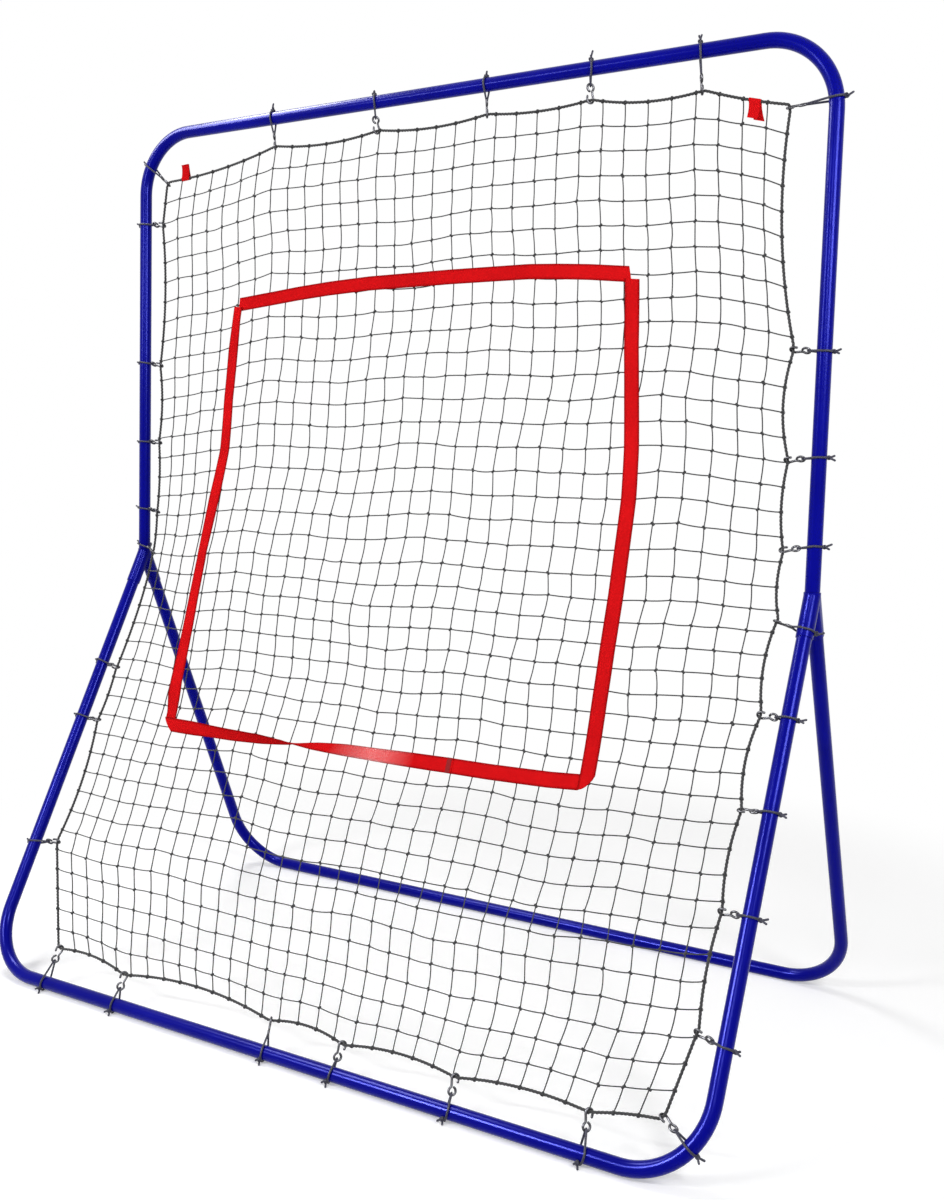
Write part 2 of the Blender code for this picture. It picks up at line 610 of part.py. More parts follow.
def tie(name, tube_place, rope_place, twist, along, finish):
    """One tie: an S-hook on the rope and the elastic loop that holds it to the tube."""
    tube = frame_point(tube_place)
    rope = net_point(rope_place)
    reach = frame_point(tube_place + np.array(along) * TUBE_OD)
    axis = unit(reach - tube)
    pull = rope - tube
    drift = pull @ axis
    square = unit(pull - drift * axis)
    towards = unit(pull)
    distance = np.linalg.norm(pull)
    # The rope lies in the bend, FIT_GAP from the wire on the net's side.
    bend = distance + ROPE_RADIUS + FIT_GAP + WIRE_RADIUS - HOOK_BEND_RADIUS
    eye = bend - HOOK_PITCH
    nose = eye - HOOK_EYE_RADIUS + WIRE_RADIUS + ELASTIC_RADIUS * 0.7
    front = unit(np.cross(axis, towards))
    front = front if front @ FORWARD > 0 else -front
    level = np.cross(front, towards)
    level = level if level @ axis > 0 else -level
    turn = math.radians(twist)
    across = math.cos(turn) * front + math.sin(turn) * level
    on_socket = -SOCKET_REACH < tube_place[1] < COLLAR_HEIGHT and abs(along[1]) == 1
    wrap = SOCKET_RADIUS if on_socket else TUBE_RADIUS
    on_floor = name.startswith("tie_bottom") and along[0] == 1
    inner_nose = nose - ELASTIC_RADIUS * 1.5
    loop = elastic_mesh(tube, axis, square, wrap, inner_nose, drift * inner_nose / distance, -1 if on_floor else 0)
    mesh = combine(loop, hook_mesh(tube + eye * towards, towards, across), "UNION")
    if on_floor:
        for corner in mesh.vertices:
            corner.co.z = max(corner.co.z, 0.0)
    return add_object(name, mesh, finish, smooth=60)


def build():
    """Make every piece."""
    for old in list(bpy.data.objects):
        bpy.data.objects.remove(old)
    blue = material("blue powder coat", (0.004, 0.004, 0.42), 0.28, coat=0.5)
    black = material("black net cord", (0.03, 0.03, 0.032), 0.8)
    rope_black = material("black border rope", (0.022, 0.022, 0.024), 0.85)
    red = material("red webbing", (0.72, 0.012, 0.014), 0.7)
    wire = material("black hook wire", (0.03, 0.03, 0.032), 0.35, metallic=0.9)

    bow("upper_bow", UPPER_WAY, UPPER_LENGTH, COLLAR_HEIGHT + FIT_GAP, blue)
    bow("front_bow", FRONT_WAY, FRONT_LENGTH, SOCKET_STOP, blue)
    bow("rear_bow", REAR_WAY, REAR_LENGTH, SOCKET_STOP, blue)
    connector("y_connector_left", -1, blue)
    connector("y_connector_right", 1, blue)

    ties = tie_places()
    outline = Outline(ties)
    net("net", outline, black)
    border_rope("border_rope", outline, rope_black)
    strike_zone("strike_zone_band", red)
    for name, facts in TABS.items():
        tab(name, outline, *facts, red)
    for name, (tube_place, rope_place, twist, along) in ties.items():
        tie(name, tube_place, rope_place, twist, along, wire)


build()
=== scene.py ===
"""Looks of the pitch back rebounder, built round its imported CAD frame.

Metres and degrees, +Z up, X across the frame; the thrower stands on the -Y side.
A place on the net or on the bows is (x, s): x across, and s along the side tubes from the
mid joint, positive up the upper bow and negative down the front bow.
A rope, cord or tube is a batch of rings of corners, carried along a batch of paths.
"""
import math

import bmesh
import bpy
import numpy as np
from mathutils import Matrix, Vector


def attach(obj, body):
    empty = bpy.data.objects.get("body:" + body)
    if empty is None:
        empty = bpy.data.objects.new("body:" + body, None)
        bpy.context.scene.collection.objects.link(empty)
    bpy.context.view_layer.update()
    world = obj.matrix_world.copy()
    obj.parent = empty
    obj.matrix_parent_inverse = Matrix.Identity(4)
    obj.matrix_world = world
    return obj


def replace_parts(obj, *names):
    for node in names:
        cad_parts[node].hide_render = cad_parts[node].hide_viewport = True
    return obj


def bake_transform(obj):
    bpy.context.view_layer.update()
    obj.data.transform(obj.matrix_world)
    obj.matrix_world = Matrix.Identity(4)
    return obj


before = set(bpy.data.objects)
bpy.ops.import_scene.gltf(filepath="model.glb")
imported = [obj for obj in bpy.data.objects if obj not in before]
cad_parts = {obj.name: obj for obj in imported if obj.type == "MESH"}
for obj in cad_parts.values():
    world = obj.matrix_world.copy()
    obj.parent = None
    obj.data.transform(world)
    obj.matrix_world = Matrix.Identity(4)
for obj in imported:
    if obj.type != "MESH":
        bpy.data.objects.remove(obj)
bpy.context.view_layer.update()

# ---- the frame's sizes ----
FRAME_WIDTH = 1.328
TUBE_RADIUS = 0.0111
TUBE_WALL = 0.0011
CORNER_RADIUS = 0.108
UPPER_LENGTH = 0.794
UPPER_LEAN = 2.9
FRONT_LENGTH = 0.814
FRONT_SPLAY = 30.2
REAR_SPLAY = 22.1
FOOT_LIFT = 0.0020        # the elastic squashed under the front bar
TUBE_FLAT = 0.01089       # the CAD tube's axis above its own underside
SOCKET_RADIUS = 0.0125
SOCKET_BORE = 0.0114
SOCKET_REACH = 0.066
SOCKET_STOP = 0.0277
COLLAR_HEIGHT = 0.006
SPIGOT_RADIUS = 0.0097
SPIGOT_HEIGHT = 0.050
SPIGOT_CHAMFER = (0.001, 0.0006)
CHANNEL_RADIUS = 0.0080
RIM_ROUND = 0.0004
FIT_GAP = 0.0003
ROUND_SIDES = 48
CORNER_STEPS = 24

# ---- the net's sizes ----
MESH_COLUMNS = 32
MESH_ROWS = 40
MESH_CORD = 0.0020
CORD_SIDES = 6
CORD_STEPS = 4            # pieces of cord between two knots
KNOT_SIZE = (0.0032, 0.0021, 0.0019)
KNOT_SIDES = 7
KNOT_LEAN = (0.8, 0.25)   # to one side or the other, and its scatter
KNOT_SCATTER = 0.08       # of the knots' size
MESH_DRIFT = 0.00315      # the slow waves of a slack mesh
MESH_SCATTER = 0.0009     # each knot's own distance from them
CALM_EDGE = 1 / 8         # the share of the net over which both die out
CORD_BOW = (0.00042, 0.00054)     # of a cord between two knots, and its scatter
ROPE_RADIUS = 0.00235
ROPE_LAY = 0.017          # length of one turn of the rope's strands
STRAND_RADIUS = 0.464     # of a strand, as a share of the rope's
STRAND_OFFSET = 0.536     # of a strand's centre from the rope's
STRAND_VALLEY = 0.66      # the valley between two strands
ROPE_RING = 0.0014
ROPE_SIDES = 18
ROPE_GRIP = 0.0042        # half the rope that lies in a hook
ROPE_STEPS = 24
ROPE_EASE = 0.0035        # how softly the rope bends at a hook
SAG_DECAY = 0.070         # how far into the net the rope's sags are felt
WRAP_TURNS = 2.2
WRAP_STEPS = 23
WRAP_CORD = 0.0014
WRAP_GRIP = 0.94          # how close the cord's turns lie to the rope
WRAP_PITCH = 1.05         # from turn to turn, in cords
WRAP_PROBE = 0.003        # a short step along the net's edge, as a share of its side
BULGE_MIDDLE = 0.396      # how roundly the net cuts the frame's corner, in its middle
BULGE_EDGE = 0.066        # and at its edges
BULGE_REACH = 0.350       # how far up and down the net that is felt
PROBE = 0.002             # a short step for reading slopes

# ---- webbing ----
BAND_WIDTH = 0.0245
BAND_THICKNESS = 0.0014
BAND_OFF_NET = 0.0019
LAYER_GAP = 0.0002        # between two layers of the band
SEAM_WIDTH = 0.008
SEAM_LAP = 0.006          # how far each sewn end stops short of the seam's middle
SEAM_STAND = 0.0005
SHINE_START = 0.07        # where along the turned strap it catches the light
SHINE_LENGTH = 0.16
EDGE_DARK = (0.0088, 0.0120)      # the webbing darkens between these, from its middle: a tighter selvedge, and painted shade of its rounded edges
TOP_CUTS = (0.002, -0.004)        # how far the top strap's two ends are cut aslant
RIGHT_CUT = 0.002         # the same, at the right strap's upper end
# The band's centre line on each side, as (x, s), measured on the photo.
ZONE_TOP = [(-0.419, 0.467), (-0.327, 0.4755), (-0.281, 0.480), (-0.214, 0.485), (-0.128, 0.489),
            (0.034, 0.4905), (0.185, 0.490), (0.239, 0.487), (0.292, 0.483), (0.362, 0.4755)]
ZONE_RIGHT = [(0.366, 0.468), (0.367, 0.452), (0.372, 0.361), (0.379, 0.285), (0.387, 0.209),
              (0.392, 0.134), (0.392, 0.059), (0.392, -0.017), (0.3905, -0.102), (0.3905, -0.185),
              (0.392, -0.266), (0.3925, -0.319)]
ZONE_BOTTOM = [(0.391, -0.319), (0.332, -0.3225), (0.230, -0.3245), (0.159, -0.3245), (0.026, -0.3265),
               (-0.043, -0.3270), (-0.105, -0.3290), (-0.168, -0.3315), (-0.278, -0.3330),
               (-0.361, -0.3320), (-0.434, -0.3320)]
ZONE_LEFT = [(-0.434, -0.332), (-0.438, -0.285), (-0.444, -0.246), (-0.447, -0.186), (-0.449, -0.083),
             (-0.448, 0.018), (-0.4385, 0.110), (-0.4305, 0.202), (-0.4335, 0.294), (-0.4305, 0.385),
             (-0.424, 0.440), (-0.421, 0.463)]
ZONE_SEAM = 3             # which point of ZONE_BOTTOM the band's ends are sewn at
FOLD_ROUND = (0.003, 0.0065)      # how far the folded corners swell, left and right
STRAP_SPARE = 0.03        # how far a strap's line runs on past both its ends
STRAP_EASE = 12           # rounds of easing
CUT_FADE = 8              # how fast the cut of a strap's end dies out along it
# Where a strap turns about its own line: x or s, and degrees.
STRAP_TURN = [(-0.425, 0), (-0.375, -14), (-0.335, -36), (-0.276, -45), (-0.213, -58), (-0.155, -83),
              (-0.137, -100), (-0.095, -128), (-0.037, -150), (0.018, -157), (0.073, -169), (0.125, -180)]
LEFT_TURN = [(-0.32, 0), (-0.285, 16), (-0.20, 8), (-0.08, 4), (0.02, 1), (0.11, 8), (0.20, 0),
             (0.294, -4), (0.385, -3), (0.44, -13)]
TAB_WIDTH = 0.019
TAB_THICKNESS = 0.0009
TAB_NARROWING = 0.10      # share of its width, at TAB_NARROWED from the rope
TAB_NARROWED = 0.02
TAB_INSET = {"left": 0.104, "right": 0.119}       # from the side tubes' centre lines
# Each tab's tails in front of the rope and behind it, as (forward, away from the rope, along it).
RIGHT_TAILS = ([(0.0024, 0.025, -0.003), (0.0016, 0.018, -0.0015), (0.0010, 0.010, 0), (0.0014, 0.005, 0)],
               [(-0.0014, 0.005, 0), (-0.0012, 0.010, 0.001), (-0.0030, 0.018, 0.003),
                (-0.0050, 0.026, 0.005)])
LEFT_TAILS = ([(0.0060, 0.024, 0.002), (0.0030, 0.029, 0.001), (0.0012, 0.020, 0), (0.0010, 0.010, 0),
               (0.0014, 0.005, 0)],
              [(-0.0014, 0.005, 0), (-0.0010, 0.010, 0), (-0.0012, 0.019, -0.001),
               (-0.0010, 0.026, -0.002)])

# ---- ties ----
ELASTIC_RADIUS = 0.0016
ELASTIC_SIDES = 10
ELASTIC_NOSE = ELASTIC_RADIUS * 1.1       # bend radius of the loop in the hook's eye
NOSE_ROOM = ELASTIC_RADIUS * 1.05         # from the loop's centre line to the eye's wire
# The elastic's knot is a short coil over its loop, in degrees round the tube from the net's side.
COIL_PLACE, COIL_ON_FLOOR = 180, 145
COIL_STAND = ELASTIC_RADIUS * 1.5
COIL_RADIUS = ELASTIC_RADIUS * 1.15
COIL_TURNS = 1.9
COIL_LENGTH = 0.0058
WIRE_RADIUS = 0.0018
WIRE_SIDES = 12
HOOK_EYE_RADIUS = 0.0057
HOOK_BEND_RADIUS = 0.0057
HOOK_PITCH = 0.0178
HOOK_EYE_ARC = (16, 337)
HOOK_BEND_ARC = (-88, 100)
HOOK_TIP = 0.0035         # the bend's straight end
TAIL_SIDES = 8
TAIL_START = 0.0018       # of each tail from the knot's middle
TAIL_ROOT = 0.0022        # its part inside the knot
TAIL_LENGTHS = (0.0015, 0.0060)
TAIL_LEAN = (0.35, 0.30)  # round the tube and along it, at the tail's root
TAIL_BEND = (0.10, 0.75)  # the same, where it bends over
TAIL_BENT = 0.6           # how far it bends over, as a share of its length
LEAN_SCATTER = 0.1        # of the elastic's front strand, either way
TIE_REACH = 0.040
# Place along the tube, how much longer than TIE_REACH, how far along the tube the rope is held, and
# the hook's twist.
TOP_TIES = [(-0.352, 0.010, 0.006, 30), (-0.130, 0.008, 0.007, -30), (0.092, 0.007, 0.003, 35),
            (0.279, 0.008, 0.001, -35), (0.457, 0.018, 0.006, 30)]
BOTTOM_TIES = [(-0.519, 0.020, 0.006, -30), (-0.352, 0.009, -0.001, -35), (-0.033, 0.007, -0.006, 35),
               (0.093, 0.004, 0.006, 145), (0.295, 0.006, 0.000, 145), (0.503, 0.013, -0.002, 145)]
LEFT_TIES = [(UPPER_LENGTH - 0.162, 0.005, -0.004, 35), (0.368, 0.001, -0.005, 35),
             (0.215, 0.000, 0.000, 35), (0.086, 0.000, -0.005, 35), (0.016, -0.001, -0.014, 35),
             (-0.234, 0.002, -0.008, -35), (-0.346, 0.003, -0.002, -35),
             (0.224 - FRONT_LENGTH, 0.014, 0.010, 25)]
RIGHT_TIES = [(0.350, 0.005, 0.004, 35), (0.200, 0.005, -0.004, 35), (0.072, 0.004, -0.006, 145),
              (-0.056, 0.001, 0.014, -10), (-0.189, 0.000, 0.002, 35), (-0.325, 0.001, -0.002, -35),
              (-0.470, 0.000, 0.001, 35), (0.173 - FRONT_LENGTH, 0.000, 0.012, 35)]
# Left or right, up or down, degrees round the bend, the rope's place from the tube's, the twist.
CORNER_TIES = {"top_left": (-1, 1, 61, (0.044, -0.035), 30), "top_right": (1, 1, 82, (-0.066, -0.005), 25),
               "bottom_right": (1, -1, 55, (-0.043, 0.027), -30)}
# How far the elastic's front strand leans along the tube; the other ties' lean by chance alone.
STRAND_LEAN = {"tie_top_1": 0.3, "tie_top_2": 0.6, "tie_top_3": 0.2, "tie_top_4": 0.6, "tie_top_5": 0.35,
               "tie_bottom_1": 0.25, "tie_bottom_2": 0.35, "tie_bottom_3": 0.35, "tie_bottom_4": 0.5,
               "tie_bottom_5": 0.55, "tie_bottom_6": 0.65}
# The rope's sag from each tie to the next, as a share of their distance, clockwise from
# the tie on the upper left bend.
SAGS = {"top": [0.030, 0.040, 0.040, 0.035, 0.050, 0.020],
        "right": [0.045, 0.070, 0.045, 0.060, 0.055, 0.060, 0.045, 0.035, 0.0],
        "bottom": [0.025, 0.040, 0.050, 0.065, 0.050, 0.055],
        "left": [0.0, 0.050, 0.035, 0.020, 0.010, 0.025, 0.045, 0.035, 0.0]}

# ---- studio ----
# Lens and place of the camera that took the photo, from the fit of the frame's corners.
SENSOR_HEIGHT = 36.0
LENS = 38.32
CAMERA_X, CAMERA_AHEAD, CAMERA_HEIGHT = 1.18188, 1.82798, 0.9540
CAMERA_YAW, CAMERA_PITCH, CAMERA_ROLL = 0.5384, -0.1319, 0.0013
SURROUND = 0.40           # strength of the white round the object
FLOOR_GREY = 0.80
FLOOR_GLOW = 0.30
FLOOR_FADE = (0.95, 1.55)         # the floor runs out into white between these, from the middle
FLOOR_REACH = 40.0
NET_MIDDLE = (0.0, 0.0, 0.75)
FRONT_BAR_RIGHT = (0.42, -0.33, 0.05)


def leaning(degrees, up):
    """Unit vector in the YZ plane at an angle back from straight up or down."""
    angle = math.radians(degrees)
    return np.array([0.0, math.sin(angle), math.cos(angle) * up])


HALF_WIDTH = FRAME_WIDTH / 2
UPPER_WAY = leaning(UPPER_LEAN, 1)
FRONT_WAY = leaning(-FRONT_SPLAY, -1)
REAR_WAY = leaning(REAR_SPLAY, -1)
ACROSS = np.array([1.0, 0.0, 0.0])
FORWARD = np.array([0.0, -1.0, 0.0])
MID_HEIGHT = -FRONT_LENGTH * FRONT_WAY[2] + TUBE_FLAT + FOOT_LIFT
REAR_LENGTH = (TUBE_FLAT - MID_HEIGHT) / REAR_WAY[2]
ELASTIC_REACH = TUBE_RADIUS + FIT_GAP + 2 * ELASTIC_RADIUS
MID_BACK = (-FRONT_LENGTH * FRONT_WAY[1] + ELASTIC_REACH - REAR_LENGTH * REAR_WAY[1] - TUBE_RADIUS) / 2
MID_JOINT = np.array([0.0, MID_BACK, MID_HEIGHT])
random = np.random.default_rng(11)


# ---- surfaces ----

def unit(vector):
    """The vectors scaled to length one."""
    vector = np.asarray(vector, float)
    return vector / np.linalg.norm(vector, axis=-1, keepdims=True)


def corners_round(count):
    """Angles of the corners round a circle."""
    return np.arange(count) * 2 * math.pi / count


def spokes(first, second, turn):
    """Directions turned from a first towards a second: first cos turn + second sin turn."""
    return first * np.cos(turn)[..., None] + second * np.sin(turn)[..., None]


def read_line(line, reach, at):
    """A line's places at some distances along it."""
    return np.stack([np.interp(at, reach, line[:, axis]) for axis in range(line.shape[1])], axis=-1)


def placed(name, data):
    """A new object in the scene."""
    made = bpy.data.objects.new(name, data)
    bpy.context.scene.collection.objects.link(made)
    return made


def piece(name, points, along, around, finish, closed=False, smooth=60):
    """A mesh of tubes from their rings of corners.

    points is (tubes, rings, sides, 3); a ring's corners turn clockwise seen along the path.
    The UV map holds metres along the path, along, with one more where it is closed, and
    around, the share of a turn or metres across. Edges of more than smooth degrees stay sharp.
    """
    points = np.asarray(points, float)
    tubes, rings, sides = points.shape[:3]
    last = rings if closed else rings - 1
    tube, ring, side = np.meshgrid(np.arange(tubes), np.arange(last), np.arange(sides), indexing="ij")
    base = tube * rings * sides
    following, beside = (ring + 1) % rings, (side + 1) % sides
    near, far = base + ring * sides, base + following * sides
    quads = np.stack([near + side, far + side, far + beside, near + beside], axis=-1).reshape(-1, 4)
    along = np.broadcast_to(np.atleast_2d(along), (tubes, last + 1))
    u_near, u_far = along[tube, ring], along[tube, ring + 1]
    v_near, v_far = around[side], around[side + 1]
    uv = np.stack([u_near, v_near, u_far, v_near, u_far, v_far, u_near, v_far], axis=-1).reshape(-1, 2)
    corners = quads.reshape(-1)
    sizes = np.full(len(quads), 4)
    if not closed:
        first = (np.arange(tubes) * rings * sides)[:, None] + np.arange(sides)[None]
        final = first + (rings - 1) * sides
        caps = np.concatenate([first, final[:, ::-1]])
        corners = np.concatenate([corners, caps.reshape(-1)])
        sizes = np.concatenate([sizes, np.full(len(caps), sides)])
        cap_uv = np.repeat(np.concatenate([along[:, 0], along[:, rings - 1]]), sides)
        uv = np.concatenate([uv, np.column_stack([cap_uv, np.tile(around[:sides], len(caps))])])
    mesh = bpy.data.meshes.new(name)
    mesh.vertices.add(tubes * rings * sides)
    mesh.vertices.foreach_set("co", points.reshape(-1).astype(np.float32))
    mesh.loops.add(len(corners))
    mesh.loops.foreach_set("vertex_index", corners.astype(np.int32))
    mesh.polygons.add(len(sizes))
    starts = np.concatenate([[0], np.cumsum(sizes)[:-1]])
    mesh.polygons.foreach_set("loop_start", starts.astype(np.int32))
    layer = mesh.uv_layers.new(name="UVMap")
    mesh.update(calc_edges=True)
    layer.uv.foreach_set("vector", uv.reshape(-1).astype(np.float32))
    mesh.validate()
    mesh.shade_smooth()
    mesh.set_sharp_from_angle(angle=math.radians(smooth))
    mesh.materials.append(finish)
    return placed(name, mesh)


def headings(paths, closed=False):
    """Unit directions of a batch of paths, (paths, points, 3)."""
    if closed:
        return unit(np.roll(paths, -1, axis=1) - np.roll(paths, 1, axis=1))
    return unit(np.gradient(paths, axis=1))


def lengths(paths, closed=False):
    """Metres along each path at its points, and at its end again where it is closed."""
    loop = np.concatenate([paths, paths[:, :1]], axis=1) if closed else paths
    steps = np.linalg.norm(np.diff(loop, axis=1), axis=-1)
    return np.pad(np.cumsum(steps, axis=1), ((0, 0), (1, 0)))


def rings_along(paths, radius, sides, side_way, closed=False):
    """Rings of corners at each point: point + radius (cos a out + sin a side), out = along x side."""
    along = headings(paths, closed)
    side_way = np.broadcast_to(side_way, along.shape)
    side = unit(side_way - along * np.sum(along * side_way, axis=-1, keepdims=True))
    out = np.cross(along, side)
    radius = np.asarray(radius, float)
    if radius.ndim < 3:
        radius = np.broadcast_to(radius, paths.shape[:2])[..., None]
    spoke = spokes(out[:, :, None], side[:, :, None], corners_round(sides))
    return paths[:, :, None] + radius[..., None] * spoke


def tubes(name, paths, radius, sides, side_way, finish, closed=False, smooth=60):
    """Round tubes along a batch of paths, closed in themselves or with flat ends."""
    paths = np.asarray(paths, float)
    points = rings_along(paths, radius, sides, side_way, closed)
    return piece(name, points, lengths(paths, closed), np.linspace(0, 1, sides + 1), finish, closed, smooth)


def eased(paths, rounds):
    """The paths with each point drawn to its neighbours' middle, the ends held."""
    for _ in range(rounds):
        middle = (paths[:, :-2] + 2 * paths[:, 1:-1] + paths[:, 2:]) / 4
        paths = np.concatenate([paths[:, :1], middle, paths[:, -1:]], axis=1)
    return paths


def round_ended(paths, radius, steps=4):
    """The paths and radii with a half ball at both ends: radius cos a at radius sin a past the end."""
    along = headings(paths)
    turn = np.radians(np.linspace(86, 0, steps, endpoint=False))
    reach = (radius * np.sin(turn))[None, :, None]
    start = paths[:, :1] - along[:, :1] * reach
    end = paths[:, -1:] + along[:, -1:] * reach[:, ::-1]
    swell = radius * np.cos(turn)
    radii = np.concatenate([swell, np.full(paths.shape[1], radius), swell[::-1]])
    return np.concatenate([start, paths, end], axis=1), radii


# ---- materials ----

def feed(tree, node, inputs):
    """Fill a node's inputs, by name or number: a socket is joined, anything else is its value."""
    for key, value in inputs.items():
        if isinstance(value, bpy.types.NodeSocket):
            tree.links.new(value, node.inputs[key])
        else:
            node.inputs[key].default_value = value


def new_node(tree, kind, inputs, **settings):
    """A new shader node with these settings and inputs."""
    made = tree.nodes.new("ShaderNode" + kind)
    for key, value in settings.items():
        setattr(made, key, value)
    feed(tree, made, inputs)
    return made


class Finish:
    """A Principled material and short ways to add the nodes that vary it."""

    def __init__(self, name, colour, roughness, **constants):
        self.made = bpy.data.materials.new(name)
        self.made.use_nodes = True
        self.made.diffuse_color = (*colour, 1.0)
        self.tree = self.made.node_tree
        self.shader = self.tree.nodes["Principled BSDF"]
        self.where = self.node("TexCoord", {})
        self.shade(Base_Color=(*colour, 1.0), Roughness=roughness, **constants)

    def node(self, kind, inputs, **settings):
        """A new node of this material."""
        return new_node(self.tree, kind, inputs, **settings)

    def shade(self, **inputs):
        """Fill inputs of the shader, named with _ for a space."""
        feed(self.tree, self.shader, {key.replace("_", " "): value for key, value in inputs.items()})

    def noise(self, scale, detail=3.0, space="Object", stretch=(1, 1, 1)):
        """A noise from 0 to 1."""
        place = self.node("Mapping", {"Vector": self.where.outputs[space], "Scale": stretch}).outputs[0]
        return self.node("TexNoise", {"Vector": place, "Scale": scale, "Detail": detail}).outputs["Fac"]

    def math(self, operation, first, second=0.0):
        """One step of arithmetic on sockets or numbers."""
        return self.node("Math", {0: first, 1: second}, operation=operation).outputs[0]

    def mixed(self, first, second, share):
        """Two values from 0 to 1 mixed, the first with this share."""
        first, second = self.math("MULTIPLY", first, share), self.math("MULTIPLY", second, 1 - share)
        return self.math("ADD", first, second)

    def uv(self, axis):
        """One UV coordinate: X is metres along, Y across or round."""
        return self.node("SeparateXYZ", {0: self.where.outputs["UV"]}).outputs[axis]

    def waves(self, turns_along, turns_around):
        """sin of 2 pi (u turns_along + v turns_around), from 0 to 1."""
        phase = self.math("ADD", self.math("MULTIPLY", self.uv("X"), turns_along * 2 * math.pi),
                          self.math("MULTIPLY", self.uv("Y"), turns_around * 2 * math.pi))
        return self.math("MULTIPLY", self.math("ADD", self.math("SINE", phase), 1.0), 0.5)

    def ramp(self, value, low, high, dark, bright):
        """Colours between two places of a value."""
        made = self.node("ValToRGB", {"Fac": value})
        for end, place, colour in zip(made.color_ramp.elements, (low, high), (dark, bright)):
            end.position = place
            end.color = (*colour, 1.0)
        return made.outputs["Color"]

    def multiplied(self, first, second):
        """Two colours multiplied."""
        inputs = {"Factor": 1.0, 6: first, 7: second}
        return self.node("Mix", inputs, data_type="RGBA", blend_type="MULTIPLY").outputs[2]

    def between(self, value, low, high):
        """The value, which runs from 0 to 1, spread from low to high."""
        return self.node("MapRange", {"Value": value, "To Min": low, "To Max": high}).outputs["Result"]

    def bump(self, *heights):
        """Raise the surface by each (height socket, metres) in turn."""
        below = {}
        for height, distance in heights:
            made = self.node("Bump", {"Strength": 1.0, "Distance": distance, "Height": height, **below})
            below = {"Normal": made.outputs["Normal"]}
        self.shade(**below)


def blue_powder_coat():
    """Glossy ultramarine powder coat: a gloss tinted blue, orange peel and slow colour changes."""
    coat = Finish("blue powder coat", (0.001, 0.001, 0.22), 0.22, Specular_IOR_Level=0.20,
                  Specular_Tint=(0.17, 0.20, 1.0, 1.0))
    slow = coat.noise(9.0, 2.0)
    scuff = coat.noise(160.0, 6.0, stretch=(0.25, 1, 1))
    coat.shade(Base_Color=coat.ramp(slow, 0.3, 0.7, (0.0006, 0.0006, 0.19), (0.0012, 0.0016, 0.245)),
               Roughness=coat.between(coat.mixed(scuff, slow, 0.6), 0.16, 0.26))
    coat.bump((coat.noise(240.0, 2.0), 0.00001), (coat.noise(50.0, 1.0), 0.00003))
    return coat.made


def net_cord():
    """Dark braided cord, matt, its plaits slanting round it."""
    cord = Finish("dark net cord", (0.028, 0.029, 0.031), 0.78, Sheen_Weight=0.25, Specular_IOR_Level=0.2)
    plait = cord.waves(700.0, 2.0)
    fuzz = cord.noise(900.0, 4.0)
    tone = cord.mixed(plait, fuzz, 0.5)
    cord.shade(Base_Color=cord.ramp(tone, 0.25, 0.8, (0.012, 0.012, 0.013), (0.055, 0.057, 0.060)))
    cord.bump((plait, 0.00016), (fuzz, 0.00008))
    return cord.made


def knot_cord():
    """The same cord where it is knotted: darker, with its turns across the knot."""
    knot = Finish("dark knotted cord", (0.022, 0.022, 0.024), 0.8, Sheen_Weight=0.2, Specular_IOR_Level=0.2)
    fuzz = knot.noise(1100.0, 4.0)
    knot.shade(Base_Color=knot.ramp(fuzz, 0.3, 0.75, (0.010, 0.010, 0.011), (0.045, 0.046, 0.050)))
    knot.bump((fuzz, 0.00014))
    return knot.made


def rope_fibre():
    """Black twisted rope: fine fibres along its strands, dust on their crowns."""
    rope = Finish("black twisted rope", (0.024, 0.024, 0.026), 0.82, Sheen_Weight=0.3,
                  Specular_IOR_Level=0.2)
    fibre = rope.waves(1400.0, 12.0)
    dust = rope.noise(420.0, 5.0)
    tone = rope.mixed(fibre, dust, 0.4)
    rope.shade(Base_Color=rope.ramp(tone, 0.3, 0.8, (0.011, 0.011, 0.012), (0.058, 0.058, 0.062)))
    rope.bump((fibre, 0.00012), (dust, 0.00010))
    return rope.made


def red_webbing(name="red webbing", shiny=False):
    """Red polyester webbing: a close weave of ribs across and yarns along, darker at its edges: partly a
    tighter selvedge, partly painted shade of its rounded edges.

    Where it is shiny, it shines more from SHINE_START metres along for SHINE_LENGTH.
    """
    band = Finish(name, (0.66, 0.005, 0.007), 0.6, Specular_IOR_Level=0.0)
    ribs = band.waves(620.0, 0.0)
    yarns = band.waves(0.0, 800.0)
    crossed = band.math("MULTIPLY", ribs, yarns)
    slow = band.noise(16.0, 2.0)
    body = band.ramp(band.mixed(crossed, slow, 0.45), 0.15, 0.75, (0.50, 0.005, 0.007), (0.77, 0.009, 0.011))
    # Painted shade: the colour darkens towards both edges, standing in for a tighter selvedge and for the
    # shade of the rounded edges.
    edge = band.ramp(band.math("ABSOLUTE", band.uv("Y")), *EDGE_DARK, (1.0, 1.0, 1.0), (0.42, 0.5, 0.5))
    band.shade(Base_Color=band.multiplied(body, edge))
    if shiny:
        place = band.math("SUBTRACT", band.uv("X"), SHINE_START + SHINE_LENGTH / 2)
        off = band.math("DIVIDE", band.math("ABSOLUTE", place), SHINE_LENGTH / 2)
        band.shade(Specular_IOR_Level=band.between(off, 0.5, 0.0), Roughness=band.between(off, 0.40, 0.62))
    else:
        band.shade(Roughness=band.between(crossed, 0.52, 0.70))
    band.bump((ribs, 0.00020), (yarns, 0.00010), (slow, 0.0008))
    return band.made


